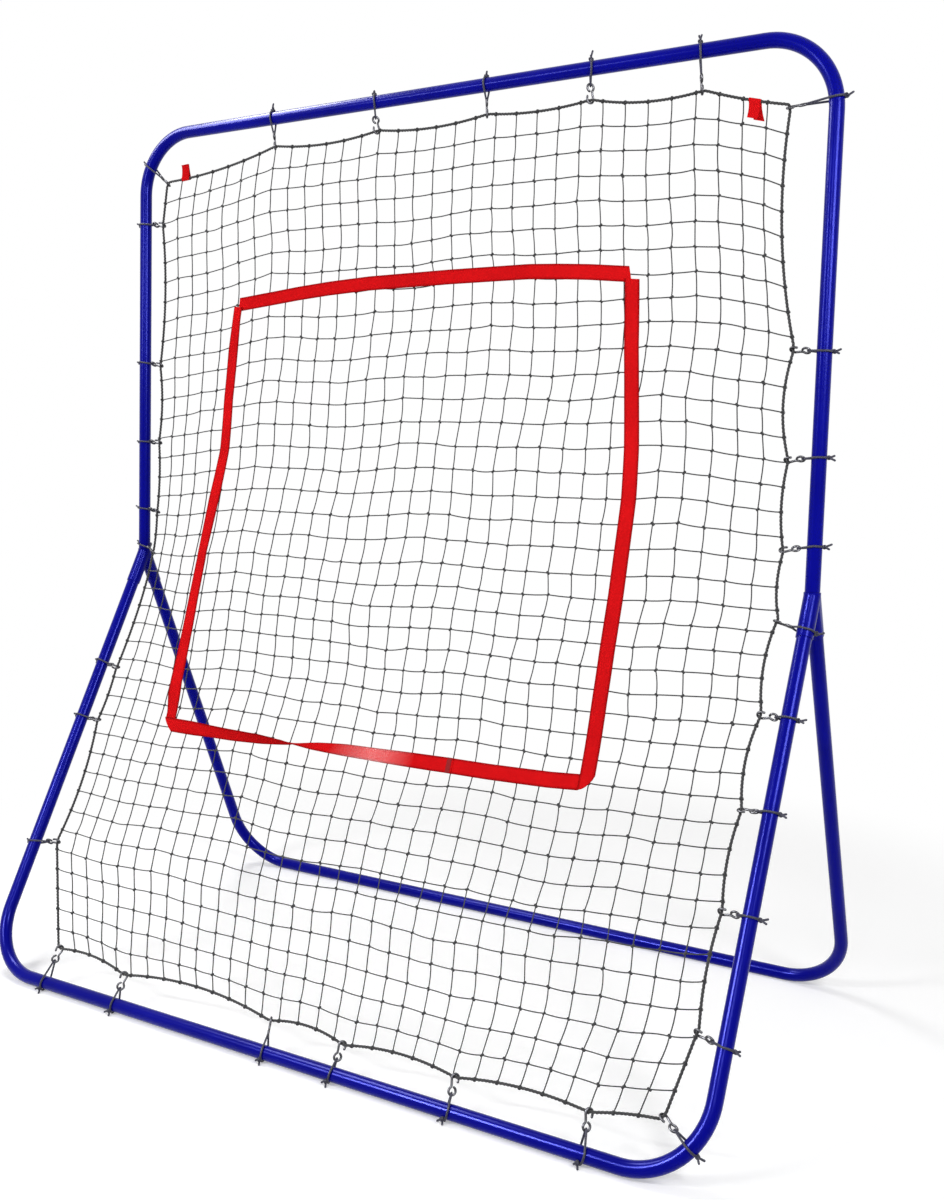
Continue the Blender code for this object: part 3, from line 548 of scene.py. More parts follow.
def seam_thread_and_shadow():
    """Darker red thread of the band's seam, in close zigzag rows; its dark colour is partly painted shadow
    of the strap end lying over the other.
    """
    thread = Finish("dark red thread", (0.26, 0.003, 0.005), 0.7, Specular_IOR_Level=0.08)
    rows = thread.waves(900.0, 260.0)
    # Painted shadow: this dark red is partly the stitching and partly the shade where one strap end lies
    # over the other.
    thread.shade(Base_Color=thread.ramp(rows, 0.2, 0.8, (0.15, 0.002, 0.003), (0.36, 0.004, 0.007)))
    thread.bump((rows, 0.00012))
    return thread.made


def hook_steel():
    """Black-zinced steel wire with drawing marks along it and brighter worn crowns."""
    wire = Finish("dark zinced wire", (0.10, 0.10, 0.105), 0.34, Metallic=1.0)
    marks = wire.noise(1.0, 4.0, space="UV", stretch=(60, 40, 1))
    cloud = wire.noise(180.0, 3.0)
    wire.shade(Base_Color=wire.ramp(cloud, 0.3, 0.72, (0.030, 0.030, 0.033), (0.10, 0.10, 0.11)),
               Roughness=wire.between(marks, 0.24, 0.50))
    wire.bump((marks, 0.00004), (cloud, 0.00006))
    return wire.made


def elastic_cover():
    """Dark elastic cord: a braided cover with a slight shine, in diamonds of two sets of plaits."""
    cover = Finish("dark elastic cover", (0.025, 0.025, 0.042), 0.5, Sheen_Weight=0.1,
                   Specular_IOR_Level=0.2)
    plaits = cover.math("MAXIMUM", cover.waves(420.0, 4.0), cover.waves(420.0, -4.0))
    fleck = cover.noise(800.0, 3.0)
    tone = cover.math("MULTIPLY", plaits, fleck)
    cover.shade(Base_Color=cover.ramp(tone, 0.15, 0.65, (0.012, 0.012, 0.022), (0.058, 0.058, 0.100)))
    cover.bump((plaits, 0.00018))
    return cover.made


# ---- the net's surface ----

def frame_point(place):
    """World position of (x, s) places in the bent plane of the upper and front bows."""
    place = np.asarray(place, float)
    x, s = place[..., :1], place[..., 1:]
    way = np.where(s > 0, UPPER_WAY, -FRONT_WAY)
    return MID_JOINT + x * ACROSS + s * way


def net_point(place):
    """World position of (x, s) places on the net.

    The net cuts the frame's corner at the mid joint: it stands forward by
    c (sqrt(s^2 + d^2) - |s|) exp(-(s / reach)^2), with d large in its middle.
    """
    place = np.asarray(place, float)
    x, s = place[..., :1], place[..., 1:]
    share = np.minimum(np.abs(x) / (HALF_WIDTH - CORNER_RADIUS / 3), 1)
    depth = BULGE_EDGE + (BULGE_MIDDLE - BULGE_EDGE) * (1 - share ** 4)
    slope = (-FRONT_WAY[1] - UPPER_WAY[1]) / 2
    forward = slope * (np.sqrt(s ** 2 + depth ** 2) - np.abs(s)) * np.exp(-(s / BULGE_REACH) ** 2)
    return frame_point(place) + forward * FORWARD


def net_facing(place):
    """Unit vector square to the net at (x, s) places, towards the thrower."""
    along_x, along_s = (net_point(place + step) - net_point(place - step) for step in PROBE * np.eye(2))
    return unit(np.cross(along_x, along_s))


def tie_places():
    """Each tie's tube place, rope place, twist and tube direction, by name, clockwise round the net."""
    top, bottom = UPPER_LENGTH, -FRONT_LENGTH
    ties = {}

    def add(name, tube, rope_from_tube, twist, along):
        tube = np.array(tube, float)
        ties[name] = (tube, tube + np.array(rope_from_tube), twist, np.array(along, float))

    def corner(name):
        hand, end, angle, rope, twist = CORNER_TIES[name]
        turn = math.radians(angle)
        middle = top if end > 0 else bottom
        place = (hand * (HALF_WIDTH - CORNER_RADIUS * (1 - math.sin(turn))),
                 middle - end * CORNER_RADIUS * (1 - math.cos(turn)))
        add("tie_" + name, place, rope, twist, (math.cos(turn), -hand * end * math.sin(turn)))

    corner("top_left")
    for count, (x, longer, drift, twist) in enumerate(TOP_TIES, 1):
        add(f"tie_top_{count}", (x, top), (drift, -TIE_REACH - longer), twist, (1, 0))
    corner("top_right")
    for count, (s, longer, drift, twist) in enumerate(RIGHT_TIES, 1):
        add(f"tie_right_{count}", (HALF_WIDTH, s), (-TIE_REACH - longer, drift), twist, (0, 1))
    corner("bottom_right")
    for count, (x, longer, drift, twist) in reversed(list(enumerate(BOTTOM_TIES, 1))):
        add(f"tie_bottom_{count}", (x, bottom), (drift, TIE_REACH + longer), twist, (1, 0))
    for count, (s, longer, drift, twist) in reversed(list(enumerate(LEFT_TIES, 1))):
        add(f"tie_left_{count}", (-HALF_WIDTH, s), (TIE_REACH + longer, drift), twist, (0, 1))
    return ties


class Outline:
    """The net's outline: the rope's scalloped line, and its four sides read by share of length."""

    def __init__(self, ties):
        names = list(ties)
        held = np.array([ties[name][1] for name in names])
        pull = unit(held - [ties[name][0] for name in names])
        grip = np.column_stack([-pull[:, 1], pull[:, 0]]) * ROPE_GRIP
        start = held + grip
        span = np.roll(held - grip, -1, axis=0) - start
        inwards = np.column_stack([span[:, 1], -span[:, 0]])
        share = np.arange(ROPE_STEPS + 1) / ROPE_STEPS
        straight = start[:, None] + span[:, None] * share[None, :, None]
        sags = np.concatenate(list(SAGS.values()))[:, None]
        sag = inwards[:, None] * (4 * share * (1 - share) * sags)[..., None]
        self.rope = (straight + sag).reshape(-1, 2)
        corners = ("tie_top_left", "tie_top_right", "tie_bottom_right", "tie_bottom_1")
        corners = [names.index(name) for name in corners] + [len(names)]
        self.sides = {}
        for side, near, far in zip(SAGS, corners, corners[1:]):
            end = held[[far % len(names)]]
            line = np.concatenate([held[[near]], straight[near:far].reshape(-1, 2), end])
            hollow = np.pad(sag[near:far].reshape(-1, 2), ((1, 1), (0, 0)))
            self.sides[side] = (line, hollow)

    def read(self, side, share, backwards):
        """Straight places and sags at shares of a side's length."""
        line, sag = self.sides[side]
        if backwards:
            line, sag = line[::-1], sag[::-1]
        reach = lengths(line[None])[0]
        at = np.asarray(share) * reach[-1]
        return read_line(line, reach, at), read_line(sag, reach, at)


def mesh_place(outline, u, v):
    """(x, s) of the net at shares u across and v up: a Coons patch of the outline.

    The rope's sags fade away from the edge as exp(-distance / SAG_DECAY).
    """
    u, v = np.asarray(u, float), np.asarray(v, float)
    top, top_sag = outline.read("top", u, False)
    bottom, bottom_sag = outline.read("bottom", u, True)
    left, left_sag = outline.read("left", v, False)
    right, right_sag = outline.read("right", v, True)
    low_left, low_right = (outline.read("bottom", end, True)[0] for end in (0, 1))
    high_left, high_right = (outline.read("top", end, False)[0] for end in (0, 1))
    a, b = u[..., None], v[..., None]
    place = ((1 - b) * bottom + b * top + (1 - a) * left + a * right
             - (1 - a) * ((1 - b) * low_left + b * high_left) - a * ((1 - b) * low_right + b * high_right))
    tall, wide = (UPPER_LENGTH + FRONT_LENGTH) / SAG_DECAY, FRAME_WIDTH / SAG_DECAY
    return (place + np.exp(-(1 - b) * tall) * top_sag + np.exp(-b * tall) * bottom_sag
            + np.exp(-a * wide) * left_sag + np.exp(-(1 - a) * wide) * right_sag)


# ---- frame ----

def bow(name, way, length, start, finish, body):
    """A bow of round tube: straight, a quarter circle, straight, a quarter circle, straight.

    Its rings run along the outside and back along the bore, so the wall is closed.
    """
    turn = np.linspace(0, math.pi / 2, CORNER_STEPS + 1)[::-1]
    bend = np.column_stack([-(HALF_WIDTH - CORNER_RADIUS * (1 - np.sin(turn))),
                            length - CORNER_RADIUS * (1 - np.cos(turn))])
    half = np.concatenate([[[-HALF_WIDTH, start]], bend])
    line = np.concatenate([half, half[::-1] * [-1, 1]])
    path = (MID_JOINT + line[:, :1] * ACROSS + line[:, 1:] * way)[None]
    side = np.cross(way, ACROSS)
    outer = rings_along(path, TUBE_RADIUS, ROUND_SIDES, side)
    inner = rings_along(path, TUBE_RADIUS - TUBE_WALL, ROUND_SIDES, side)
    points = np.concatenate([outer, inner[:, ::-1]], axis=1)
    points[..., 2] = np.maximum(points[..., 2], 0.0)
    there = lengths(path)[0]
    along = np.concatenate([there, there[::-1], there[:1]])
    made = piece(name, points, along, np.linspace(0, 1, ROUND_SIDES + 1), finish, closed=True, smooth=40)
    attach(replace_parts(made, name.replace("_tube", "")), body)


def branch(centre, way, others, profile):
    """One arm of a Y connector: a turned profile of (distance, radius) from the arm's axis.

    Its first and last rings lie on the planes half way to the other arms: a corner's
    distance there is the largest of -radius (spoke . n) / (way . n), n = way - other arm.
    """
    spoke = spokes(np.cross(way, ACROSS), ACROSS, corners_round(ROUND_SIDES))
    distance, radius = np.array(profile).T
    reach = np.repeat(distance[:, None], ROUND_SIDES, axis=1)
    for ring in (0, -1):
        mitres = [-radius[ring] * (spoke @ (way - other)) / (way @ (way - other)) for other in others]
        reach[ring] = np.max(mitres, axis=0)
    return centre + reach[..., None] * way + radius[:, None, None] * spoke[None]


def connector(name, hand, finish):
    """A Y connector: two leg sockets with rounded rims, a shoulder, and the plug for the upper bow."""
    centre = MID_JOINT + hand * HALF_WIDTH * ACROSS
    rim = [(SOCKET_REACH - RIM_ROUND * (1 - math.sin(a)), SOCKET_RADIUS - RIM_ROUND * (1 - math.cos(a)))
           for a in np.radians([0, 30, 60, 90])]
    socket = [(0, SOCKET_RADIUS)] + rim + [(SOCKET_REACH, SOCKET_BORE), (SOCKET_STOP, SOCKET_BORE),
                                           (SOCKET_STOP, CHANNEL_RADIUS), (0, CHANNEL_RADIUS)]
    plug = [(0, SOCKET_RADIUS), (COLLAR_HEIGHT - RIM_ROUND, SOCKET_RADIUS),
            (COLLAR_HEIGHT, SOCKET_RADIUS - RIM_ROUND), (COLLAR_HEIGHT, SPIGOT_RADIUS),
            (SPIGOT_HEIGHT - SPIGOT_CHAMFER[0], SPIGOT_RADIUS),
            (SPIGOT_HEIGHT, SPIGOT_RADIUS - SPIGOT_CHAMFER[1]),
            (SPIGOT_HEIGHT, CHANNEL_RADIUS), (0, CHANNEL_RADIUS)]
    arms = [(FRONT_WAY, (REAR_WAY, UPPER_WAY), socket), (REAR_WAY, (FRONT_WAY, UPPER_WAY), socket),
            (UPPER_WAY, (FRONT_WAY, REAR_WAY), plug)]
    parts = [branch(centre, *arm) for arm in arms]
    corners = np.concatenate([part.reshape(-1, 3) for part in parts])
    quads, first = [], 0
    for part in parts:
        ring, side = np.meshgrid(np.arange(len(part) - 1), np.arange(ROUND_SIDES), indexing="ij")
        near, beside = first + ring * ROUND_SIDES, (side + 1) % ROUND_SIDES
        far = near + ROUND_SIDES
        quads.append(np.stack([near + side, near + beside, far + beside, far + side], -1).reshape(-1, 4))
        first += len(part) * ROUND_SIDES
    mesh = bpy.data.meshes.new(name)
    mesh.from_pydata(corners, [], np.concatenate(quads))
    made = placed(name, mesh)
    close_seams(mesh)
    mesh.shade_smooth()
    mesh.set_sharp_from_angle(angle=math.radians(35))
    mesh.materials.append(finish)
    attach(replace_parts(made, name.replace("_socket", "")), "frame")


def close_seams(mesh):
    """Merge corners that lie on one another, and turn all faces outwards."""
    work = bmesh.new()
    work.from_mesh(mesh)
    bmesh.ops.remove_doubles(work, verts=work.verts, dist=2e-6)
    bmesh.ops.recalc_face_normals(work, faces=work.faces)
    work.to_mesh(mesh)
    work.free()


# ---- net ----

def knot_places(outline):
    """(x, s) of every knot, edges included: the Coons patch, with a little scatter and slow waves.

    The waves are sines of x and s, 0.2 to 0.4 m long.
    """
    u, v = np.meshgrid(np.linspace(0, 1, MESH_COLUMNS + 1), np.linspace(0, 1, MESH_ROWS + 1), indexing="ij")
    place = mesh_place(outline, u, v)
    x, s = place[..., 0], place[..., 1]
    inside = np.prod([np.clip(np.minimum(w, 1 - w) / CALM_EDGE, 0, 1) for w in (u, v)], axis=0)
    drift = np.stack([np.sin(s * 17 + 1.3 * np.sin(x * 7)) + 0.5 * np.sin(s * 31 - x * 9),
                      np.sin(x * 15 + 1.1 * np.sin(s * 6)) + 0.5 * np.sin(x * 27 + s * 11)], axis=-1)
    scatter = random.normal(0, MESH_SCATTER, place.shape)
    return place + inside[..., None] * (MESH_DRIFT * drift + scatter)


def cord_paths(knots, sag_way):
    """Cord places from knot to knot: straight, plus a small bow of 4 t (1 - t) in each piece."""
    share = np.arange(CORD_STEPS) / CORD_STEPS
    step = np.diff(knots, axis=1)
    bow_out = random.normal(*CORD_BOW, step.shape[:2])[..., None, None]
    bow_out = bow_out * (4 * share * (1 - share))[:, None] * np.array(sag_way)
    places = knots[:, :-1, None] + step[:, :, None] * share[:, None] + bow_out
    places = places.reshape(len(knots), -1, 2)
    return net_point(np.concatenate([places, knots[:, -1:]], axis=1))


def mesh_cords(knots, finish):
    """All cords of the net, up and across."""
    upward = cord_paths(knots[1:-1], (1, 0))
    level = cord_paths(knots[:, 1:-1].transpose(1, 0, 2), (0, -1))
    up = tubes("net_cords_up", upward, MESH_CORD / 2, CORD_SIDES, FORWARD, finish)
    over = tubes("net_cords_across", level, MESH_CORD / 2, CORD_SIDES, FORWARD, finish)
    for made in (up, over):
        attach(made, "net")
    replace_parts(up, "net")


def mesh_knots(knots, finish):
    """A small barrel of three coils at each crossing, lying slantwise over it.

    Its rings stand along the slant at -1 to 1, with radii that swell for each coil.
    """
    at = net_point(knots[1:-1, 1:-1]).reshape(-1, 3)
    facing = net_facing(knots[1:-1, 1:-1]).reshape(-1, 3)
    level = unit(net_point(knots[2:, 1:-1]) - net_point(knots[:-2, 1:-1])).reshape(-1, 3)
    angle, scatter = KNOT_LEAN
    lean = random.normal(0, scatter, len(at)) + np.where(np.arange(len(at)) % 2, angle, -angle)
    slant = spokes(level, np.cross(facing, level), lean)
    beside = np.cross(facing, slant)
    station = np.array([-1, -0.86, -0.62, -0.36, 0, 0.36, 0.62, 0.86, 1])
    swell = np.array([0.30, 0.80, 0.98, 0.76, 1.08, 0.76, 0.98, 0.80, 0.30])
    long, wide, deep = KNOT_SIZE
    size = random.normal(1, KNOT_SCATTER, (len(at), 1, 1, 1))
    ring = spokes(beside[:, None, None] * wide, facing[:, None, None] * deep, corners_round(KNOT_SIDES))
    points = at[:, None, None] + size * (slant[:, None, None] * (station * long)[:, None, None]
                                         + ring * swell[:, None, None])
    made = piece("net_knots", points[:, ::-1], (station * long + long)[None],
                 np.linspace(0, 1, KNOT_SIDES + 1), finish)
    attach(made, "net")


def rope_line(outline):
    """The rope's line, evenly spaced, its kinks at the hooks eased over a few millimetres."""
    line = net_point(outline.rope)[None]
    reach = lengths(line, closed=True)[0]
    count = int(reach[-1] / ROPE_RING)
    at = np.linspace(0, reach[-1], count, endpoint=False)
    loop = np.concatenate([line[0], line[0, :1]])
    even = read_line(loop, reach, at)
    width = int(3 * ROPE_EASE / ROPE_RING)
    shifts = np.arange(-width, width + 1)
    weights = np.exp(-0.5 * (shifts * ROPE_RING / ROPE_EASE) ** 2)
    weights /= weights.sum()
    return sum(weight * np.roll(even, shift, axis=0) for shift, weight in zip(shifts, weights))


def border_rope(outline, finish):
    """A three-strand rope: three circles of STRAND_RADIUS at STRAND_OFFSET, turning once per ROPE_LAY.

    A circle reaches b cos t + sqrt(a^2 - (b sin t)^2) at an angle t from its own spoke.
    """
    path = rope_line(outline)[None]
    reach = lengths(path, closed=True)
    turns = round(reach[0, -1] / ROPE_LAY)
    turn = corners_round(ROPE_SIDES)
    phase = reach[0, :-1, None] / reach[0, -1] * turns * 2 * math.pi
    third = 2 * math.pi / 3
    off = (turn[None] - phase + third / 2) % third - third / 2
    chord = np.sqrt(np.maximum(STRAND_RADIUS ** 2 - (STRAND_OFFSET * np.sin(off)) ** 2, 0))
    radius = ROPE_RADIUS * np.maximum(STRAND_OFFSET * np.cos(off) + chord, STRAND_VALLEY)
    points = rings_along(path, radius[None], ROPE_SIDES, FORWARD, closed=True)
    made = piece("rope_round_net", points, reach, np.linspace(0, 1, ROPE_SIDES + 1), finish, closed=True,
                 smooth=80)
    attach(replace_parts(made, "border_rope"), "net")


def rope_wraps(outline, finish):
    """Two close turns of cord round the rope where each cord of the net ends."""
    across, up = np.arange(1, MESH_COLUMNS) / MESH_COLUMNS, np.arange(1, MESH_ROWS) / MESH_ROWS
    u = np.concatenate([across, across, np.zeros(len(up)), np.ones(len(up))])
    v = np.concatenate([np.ones(len(across)), np.zeros(len(across)), up, up])
    level = np.concatenate([np.ones(2 * len(across)), np.zeros(2 * len(up))])
    near, at, far = (mesh_place(outline, *np.clip([u + level * way, v + (1 - level) * way], 0, 1))
                     for way in (-WRAP_PROBE, 0, WRAP_PROBE))
    centre, along, facing = net_point(at), unit(net_point(far) - net_point(near)), net_facing(at)
    beside = np.cross(along, facing)
    share = np.linspace(0, 1, WRAP_STEPS)
    turn = share * WRAP_TURNS * 2 * math.pi
    reach = ROPE_RADIUS * WRAP_GRIP + WRAP_CORD / 2
    spread = (share - 0.5) * WRAP_TURNS * WRAP_CORD * WRAP_PITCH
    paths = (centre[:, None] + along[:, None] * spread[:, None]
             + reach * spokes(facing[:, None], beside[:, None], turn))
    made = tubes("net_ends_on_rope", paths, WRAP_CORD / 2, CORD_SIDES, along[:, None], finish)
    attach(made, "net")


# ---- webbing ----

def flat_section():
    """Corners of a webbing's section, as (across, depth), each from -1 to 1, rounded at its edges."""
    across = np.array([-1, -0.985, -0.94, -0.75, -0.4, 0, 0.4, 0.75, 0.94, 0.985, 1])
    depth = np.sqrt(1 - np.abs(across) ** 30)
    front = np.column_stack([across, depth])
    back = np.column_stack([across[::-1], -depth[::-1]])[1:-1]
    return np.concatenate([front, back])


def strap(name, places, cuts, layer, finish, turn=(), turn_axis=0, pause=0.004):
    """A strap of webbing along (x, s) places on the net's front.

    It stands off the net by layer. Each end is cut by (slant, swell): it lies
    slant a + swell (1 - a^2) metres further along at a, from -1 to 1 across the strap.
    turn gives degrees about its own line at places on one axis.
    """
    places = np.array(places, float)
    reach = lengths(places[None])[0]
    rings = int(reach[-1] / pause)
    across, depth = flat_section().T
    share = np.linspace(0, 1, rings)[:, None]
    near, far = (slant * across + swell * (1 - across ** 2) for slant, swell in cuts)
    at = share * reach[-1] + (1 - share) ** CUT_FADE * near + share ** CUT_FADE * far
    fine = np.linspace(-STRAP_SPARE, reach[-1] + STRAP_SPARE, 400)
    line = read_line(places, reach, fine)
    before, after = np.minimum(fine, 0), np.maximum(fine - reach[-1], 0)
    line += before[:, None] * unit(places[1] - places[0]) + after[:, None] * unit(places[-1] - places[-2])
    line = eased(line[None], STRAP_EASE)[0]
    middle = read_line(line, fine, at)
    heading = unit(read_line(line, fine, at + PROBE) - middle)
    beside = np.stack([-heading[..., 1], heading[..., 0]], axis=-1)
    centre, facing = net_point(middle), net_facing(middle)
    edge = unit(net_point(middle + beside * PROBE) - centre)
    roll = np.zeros((rings, 1, 1))
    if len(turn):
        where, angle = np.array(turn).T
        roll[:, 0, 0] = np.radians(np.interp(middle[:, len(across) // 4, turn_axis], where, angle))
    half = BAND_WIDTH / 2
    out, thick = across[:, None] * half, depth[:, None] * BAND_THICKNESS / 2
    lift = layer + np.abs(np.sin(roll)) * half
    points = (centre + facing * (lift + np.sin(roll) * out + np.cos(roll) * thick)
              + edge * (np.cos(roll) * out - np.sin(roll) * thick))
    around = np.append(across, across[0]) * half
    made = piece(name, points[None], np.linspace(0, reach[-1], rings), around, finish, smooth=50)
    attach(made, "net")
    return made


def strike_zone(webbing, turned, thread):
    """The band: four straps, squarely overlapped at the top corners, folded aslant at the bottom ones.

    The bottom one is turned over once and sewn end over end.
    """
    square, fold = (0.0, 0.0), BAND_WIDTH / 2
    under, over, on_seam = BAND_OFF_NET + np.arange(3) * (BAND_THICKNESS + LAYER_GAP)
    top = strap("zone_strap_top", ZONE_TOP, [(cut, 0) for cut in TOP_CUTS], over, webbing)
    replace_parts(top, "strike_zone_band")
    left_swell, right_swell = FOLD_ROUND
    strap("zone_strap_right", ZONE_RIGHT, [(RIGHT_CUT, 0), (-fold, right_swell)], on_seam, webbing)
    strap("zone_strap_left", ZONE_LEFT, [(fold, -left_swell), square], under, webbing, LEFT_TURN, 1)
    seam, along = np.array(ZONE_BOTTOM[ZONE_SEAM]), np.array([1.0, 0.0])
    strap("zone_strap_bottom_right", [*ZONE_BOTTOM[:ZONE_SEAM], seam - SEAM_LAP * along],
          [(fold, -right_swell), square], over, webbing)
    strap("zone_strap_bottom_left", [seam + SEAM_LAP * along, *ZONE_BOTTOM[ZONE_SEAM + 1:]],
          [square, (-fold, left_swell)], on_seam, turned, STRAP_TURN)
    # The seam's dark thread also paints the shadow where one strap end lies over the other.
    strap("zone_seam", [seam + hand * SEAM_WIDTH / 2 * along for hand in (1, -1)], [square, square],
          on_seam + SEAM_STAND, thread, pause=0.001)


def tab(side, outline, hand, tails, finish):
    """A webbing tab round the top rope: a ribbon along its side view.

    It hangs where hand is 1, on the right, and stands up where hand is -1, on the left.
    """
    r = ROPE_RADIUS + TAB_THICKNESS
    over = [(r * math.cos(a), -r * math.sin(a), 0) for a in np.radians(np.linspace(-20, 200, 12))]
    x = hand * (HALF_WIDTH - TAB_INSET[side])
    rope = sum(outline.sides["top"])
    reach = np.array([x - TAB_WIDTH / 2, x, x + TAB_WIDTH / 2])
    start, at, end = net_point(np.column_stack([reach, np.interp(reach, rope[:, 0], rope[:, 1])]))
    along = unit(end - start)
    down = np.array([0.0, 0.0, -1.0]) * hand
    shape = eased(np.array(tails[0] + over + tails[1])[None], 2)[0]
    path = at + shape[:, :1] * FORWARD + shape[:, 1:2] * down + shape[:, 2:] * along
    heading = headings(path[None])[0]
    out = unit(np.cross(heading, along))
    section = flat_section()
    narrow = 1 - TAB_NARROWING * np.clip(shape[:, 1] / TAB_NARROWED, 0, 1)
    points = (path[:, None] + section[None, :, :1] * along * (TAB_WIDTH / 2 * narrow)[:, None, None]
              + section[None, :, 1:] * out[:, None] * TAB_THICKNESS / 2)
    around = np.concatenate([section[:, 0], section[:1, 0]]) * TAB_WIDTH / 2
    made = piece(f"tab_{side}_webbing", points[None], lengths(path[None]), around, finish, smooth=50)
    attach(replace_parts(made, f"tab_{side}"), "net")


# ---- ties ----

class Tie:
    """Where one tie's parts lie: the tube, its axis, the pull, and the hook's own plane."""

    def __init__(self, name, tube_place, rope_place, twist, along):
        self.name = name
        self.tube, rope = frame_point(tube_place), net_point(rope_place)
        self.axis = unit(frame_point(tube_place + along * TUBE_RADIUS) - self.tube)
        pull = rope - self.tube
        drift = pull @ self.axis
        self.square, self.towards = unit(pull - drift * self.axis), unit(pull)
        distance = np.linalg.norm(pull)
        bend = distance + ROPE_RADIUS + FIT_GAP + WIRE_RADIUS - HOOK_BEND_RADIUS
        self.eye = bend - HOOK_PITCH
        self.nose = self.eye - HOOK_EYE_RADIUS + WIRE_RADIUS + NOSE_ROOM
        self.drift = drift / distance
        front = np.cross(self.axis, self.towards)
        front = unit(front if front @ FORWARD > 0 else -front)
        level = np.cross(front, self.towards)
        level = level if level @ self.axis > 0 else -level
        self.across = spokes(front, level, np.radians(twist))
        on_socket = -SOCKET_REACH < tube_place[1] < COLLAR_HEIGHT and abs(along[1]) == 1
        self.wrap = SOCKET_RADIUS if on_socket else TUBE_RADIUS
        self.on_floor = name.startswith("tie_bottom") and along[0] == 1
        self.lean = STRAND_LEAN.get(name, 0.0) + random.uniform(-LEAN_SCATTER, LEAN_SCATTER)


def arc(centre, radius, turn):
    """An arc in a plane, as (centre + radius cos turn, radius sin turn)."""
    return np.column_stack([centre + radius * np.cos(turn), radius * np.sin(turn)])


def hooks(ties, finish):
    """The wire hooks: a closed eye, a shank aslant and an open bend, in each hook's own plane."""
    ring = arc(0, HOOK_EYE_RADIUS, np.radians(np.linspace(*HOOK_EYE_ARC, 24)))
    bend = arc(HOOK_PITCH, HOOK_BEND_RADIUS, np.radians(np.linspace(*HOOK_BEND_ARC, 18)))
    tip = bend[-1] + unit(bend[-1] - bend[-2]) * HOOK_TIP * np.array([[0.33], [0.66], [1.0]])
    shank = ring[-1] + (bend[0] - ring[-1]) * np.linspace(0, 1, 5)[1:-1, None]
    shape = eased(np.concatenate([ring, shank, bend, tip])[None], 2)[0]
    paths = np.stack([tie.tube + tie.eye * tie.towards + shape[:, :1] * tie.towards
                      + shape[:, 1:] * tie.across for tie in ties])
    normal = np.stack([np.cross(tie.towards, tie.across) for tie in ties])[:, None]
    paths, radii = round_ended(paths, WIRE_RADIUS)
    made = tubes("tie_hooks", paths, radii[None], WIRE_SIDES, normal, finish)
    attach(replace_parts(made, *(tie.name for tie in ties)), "net")


def elastic_loop(tie):
    """The loop's line: round the tube, then straight to a small nose in the hook's eye."""
    side = np.cross(tie.axis, tie.square)
    reach = tie.wrap + FIT_GAP + ELASTIC_RADIUS
    nose = tie.nose - ELASTIC_NOSE
    away = math.acos((reach - ELASTIC_NOSE) / nose)
    ring = arc(0, reach, np.linspace(away, 2 * math.pi - away, 40))
    end = arc(nose, ELASTIC_NOSE, np.linspace(-away, away, 9))
    straight = np.linspace(0, 1, 6)[1:-1, None]
    path = np.concatenate([ring, ring[-1] + (end[0] - ring[-1]) * straight, end,
                           end[-1] + (ring[0] - end[-1]) * straight])
    front = 1 if side @ FORWARD > 0 else -1
    shift = np.clip(path[:, :1], 0, None) * tie.drift + path[:, 1:] * front * tie.lean
    return tie.tube + path[:, :1] * tie.square + path[:, 1:] * side + shift * tie.axis


def elastic_knots(tie):
    """The knot on the far side of the tube, one coil over the loop, and its two tails."""
    side = np.cross(tie.axis, tie.square)
    angle = math.radians(COIL_ON_FLOOR if tie.on_floor else COIL_PLACE)
    spoke, along = spokes(tie.square, side, angle + np.array([0, math.pi / 2]))
    at = tie.tube + spoke * (tie.wrap + FIT_GAP + COIL_STAND)
    share = np.linspace(0, 1, 30)
    coil = (at + along * (share - 0.5)[:, None] * COIL_LENGTH
            + spokes(spoke, tie.axis, share * COIL_TURNS * 2 * math.pi) * COIL_RADIUS)
    tails = []
    for hand, length in zip((-1, 1), random.uniform(*TAIL_LENGTHS, 2)):
        lean, bent = (unit(spoke + hand * (along * round_tube + tie.axis * along_tube))
                      for round_tube, along_tube in (TAIL_LEAN, TAIL_BEND))
        reach = np.linspace(0, 1, 10)[:, None]
        tails.append(at + along * TAIL_START * hand + lean * reach * (TAIL_ROOT + length)
                     + bent * reach ** 2 * length * TAIL_BENT)
    return coil, np.stack(tails)


def rest_on_floor(made):
    """Press what would lie below the ground flat on to it."""
    points = np.empty(len(made.data.vertices) * 3, np.float32)
    made.data.vertices.foreach_get("co", points)
    points = points.reshape(-1, 3)
    points[:, 2] = np.maximum(points[:, 2], 0.0)
    made.data.vertices.foreach_set("co", points.reshape(-1))


def elastics(ties, finish):
    """Every tie's elastic: a loop that stretches from its tube to its hook, the knots and the tails."""
    for tie in ties:
        made = tubes(tie.name.replace("tie", "elastic_loop"), elastic_loop(tie)[None], ELASTIC_RADIUS,
                     ELASTIC_SIDES, tie.axis[None, None], finish, closed=True)
        rest_on_floor(made)
        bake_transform(made)
    coils, tails = zip(*(elastic_knots(tie) for tie in ties))
    axes = np.stack([tie.axis for tie in ties])[:, None]
    coil = tubes("elastic_knots", np.stack(coils), ELASTIC_RADIUS, TAIL_SIDES, axes, finish)
    paths, radii = round_ended(np.concatenate(tails), ELASTIC_RADIUS, 3)
    tail = tubes("elastic_tails", paths, radii[None], TAIL_SIDES, np.repeat(axes, 2, axis=0), finish)
    for made in (coil, tail):
        rest_on_floor(made)
        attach(made, "frame")


# ---- studio ----

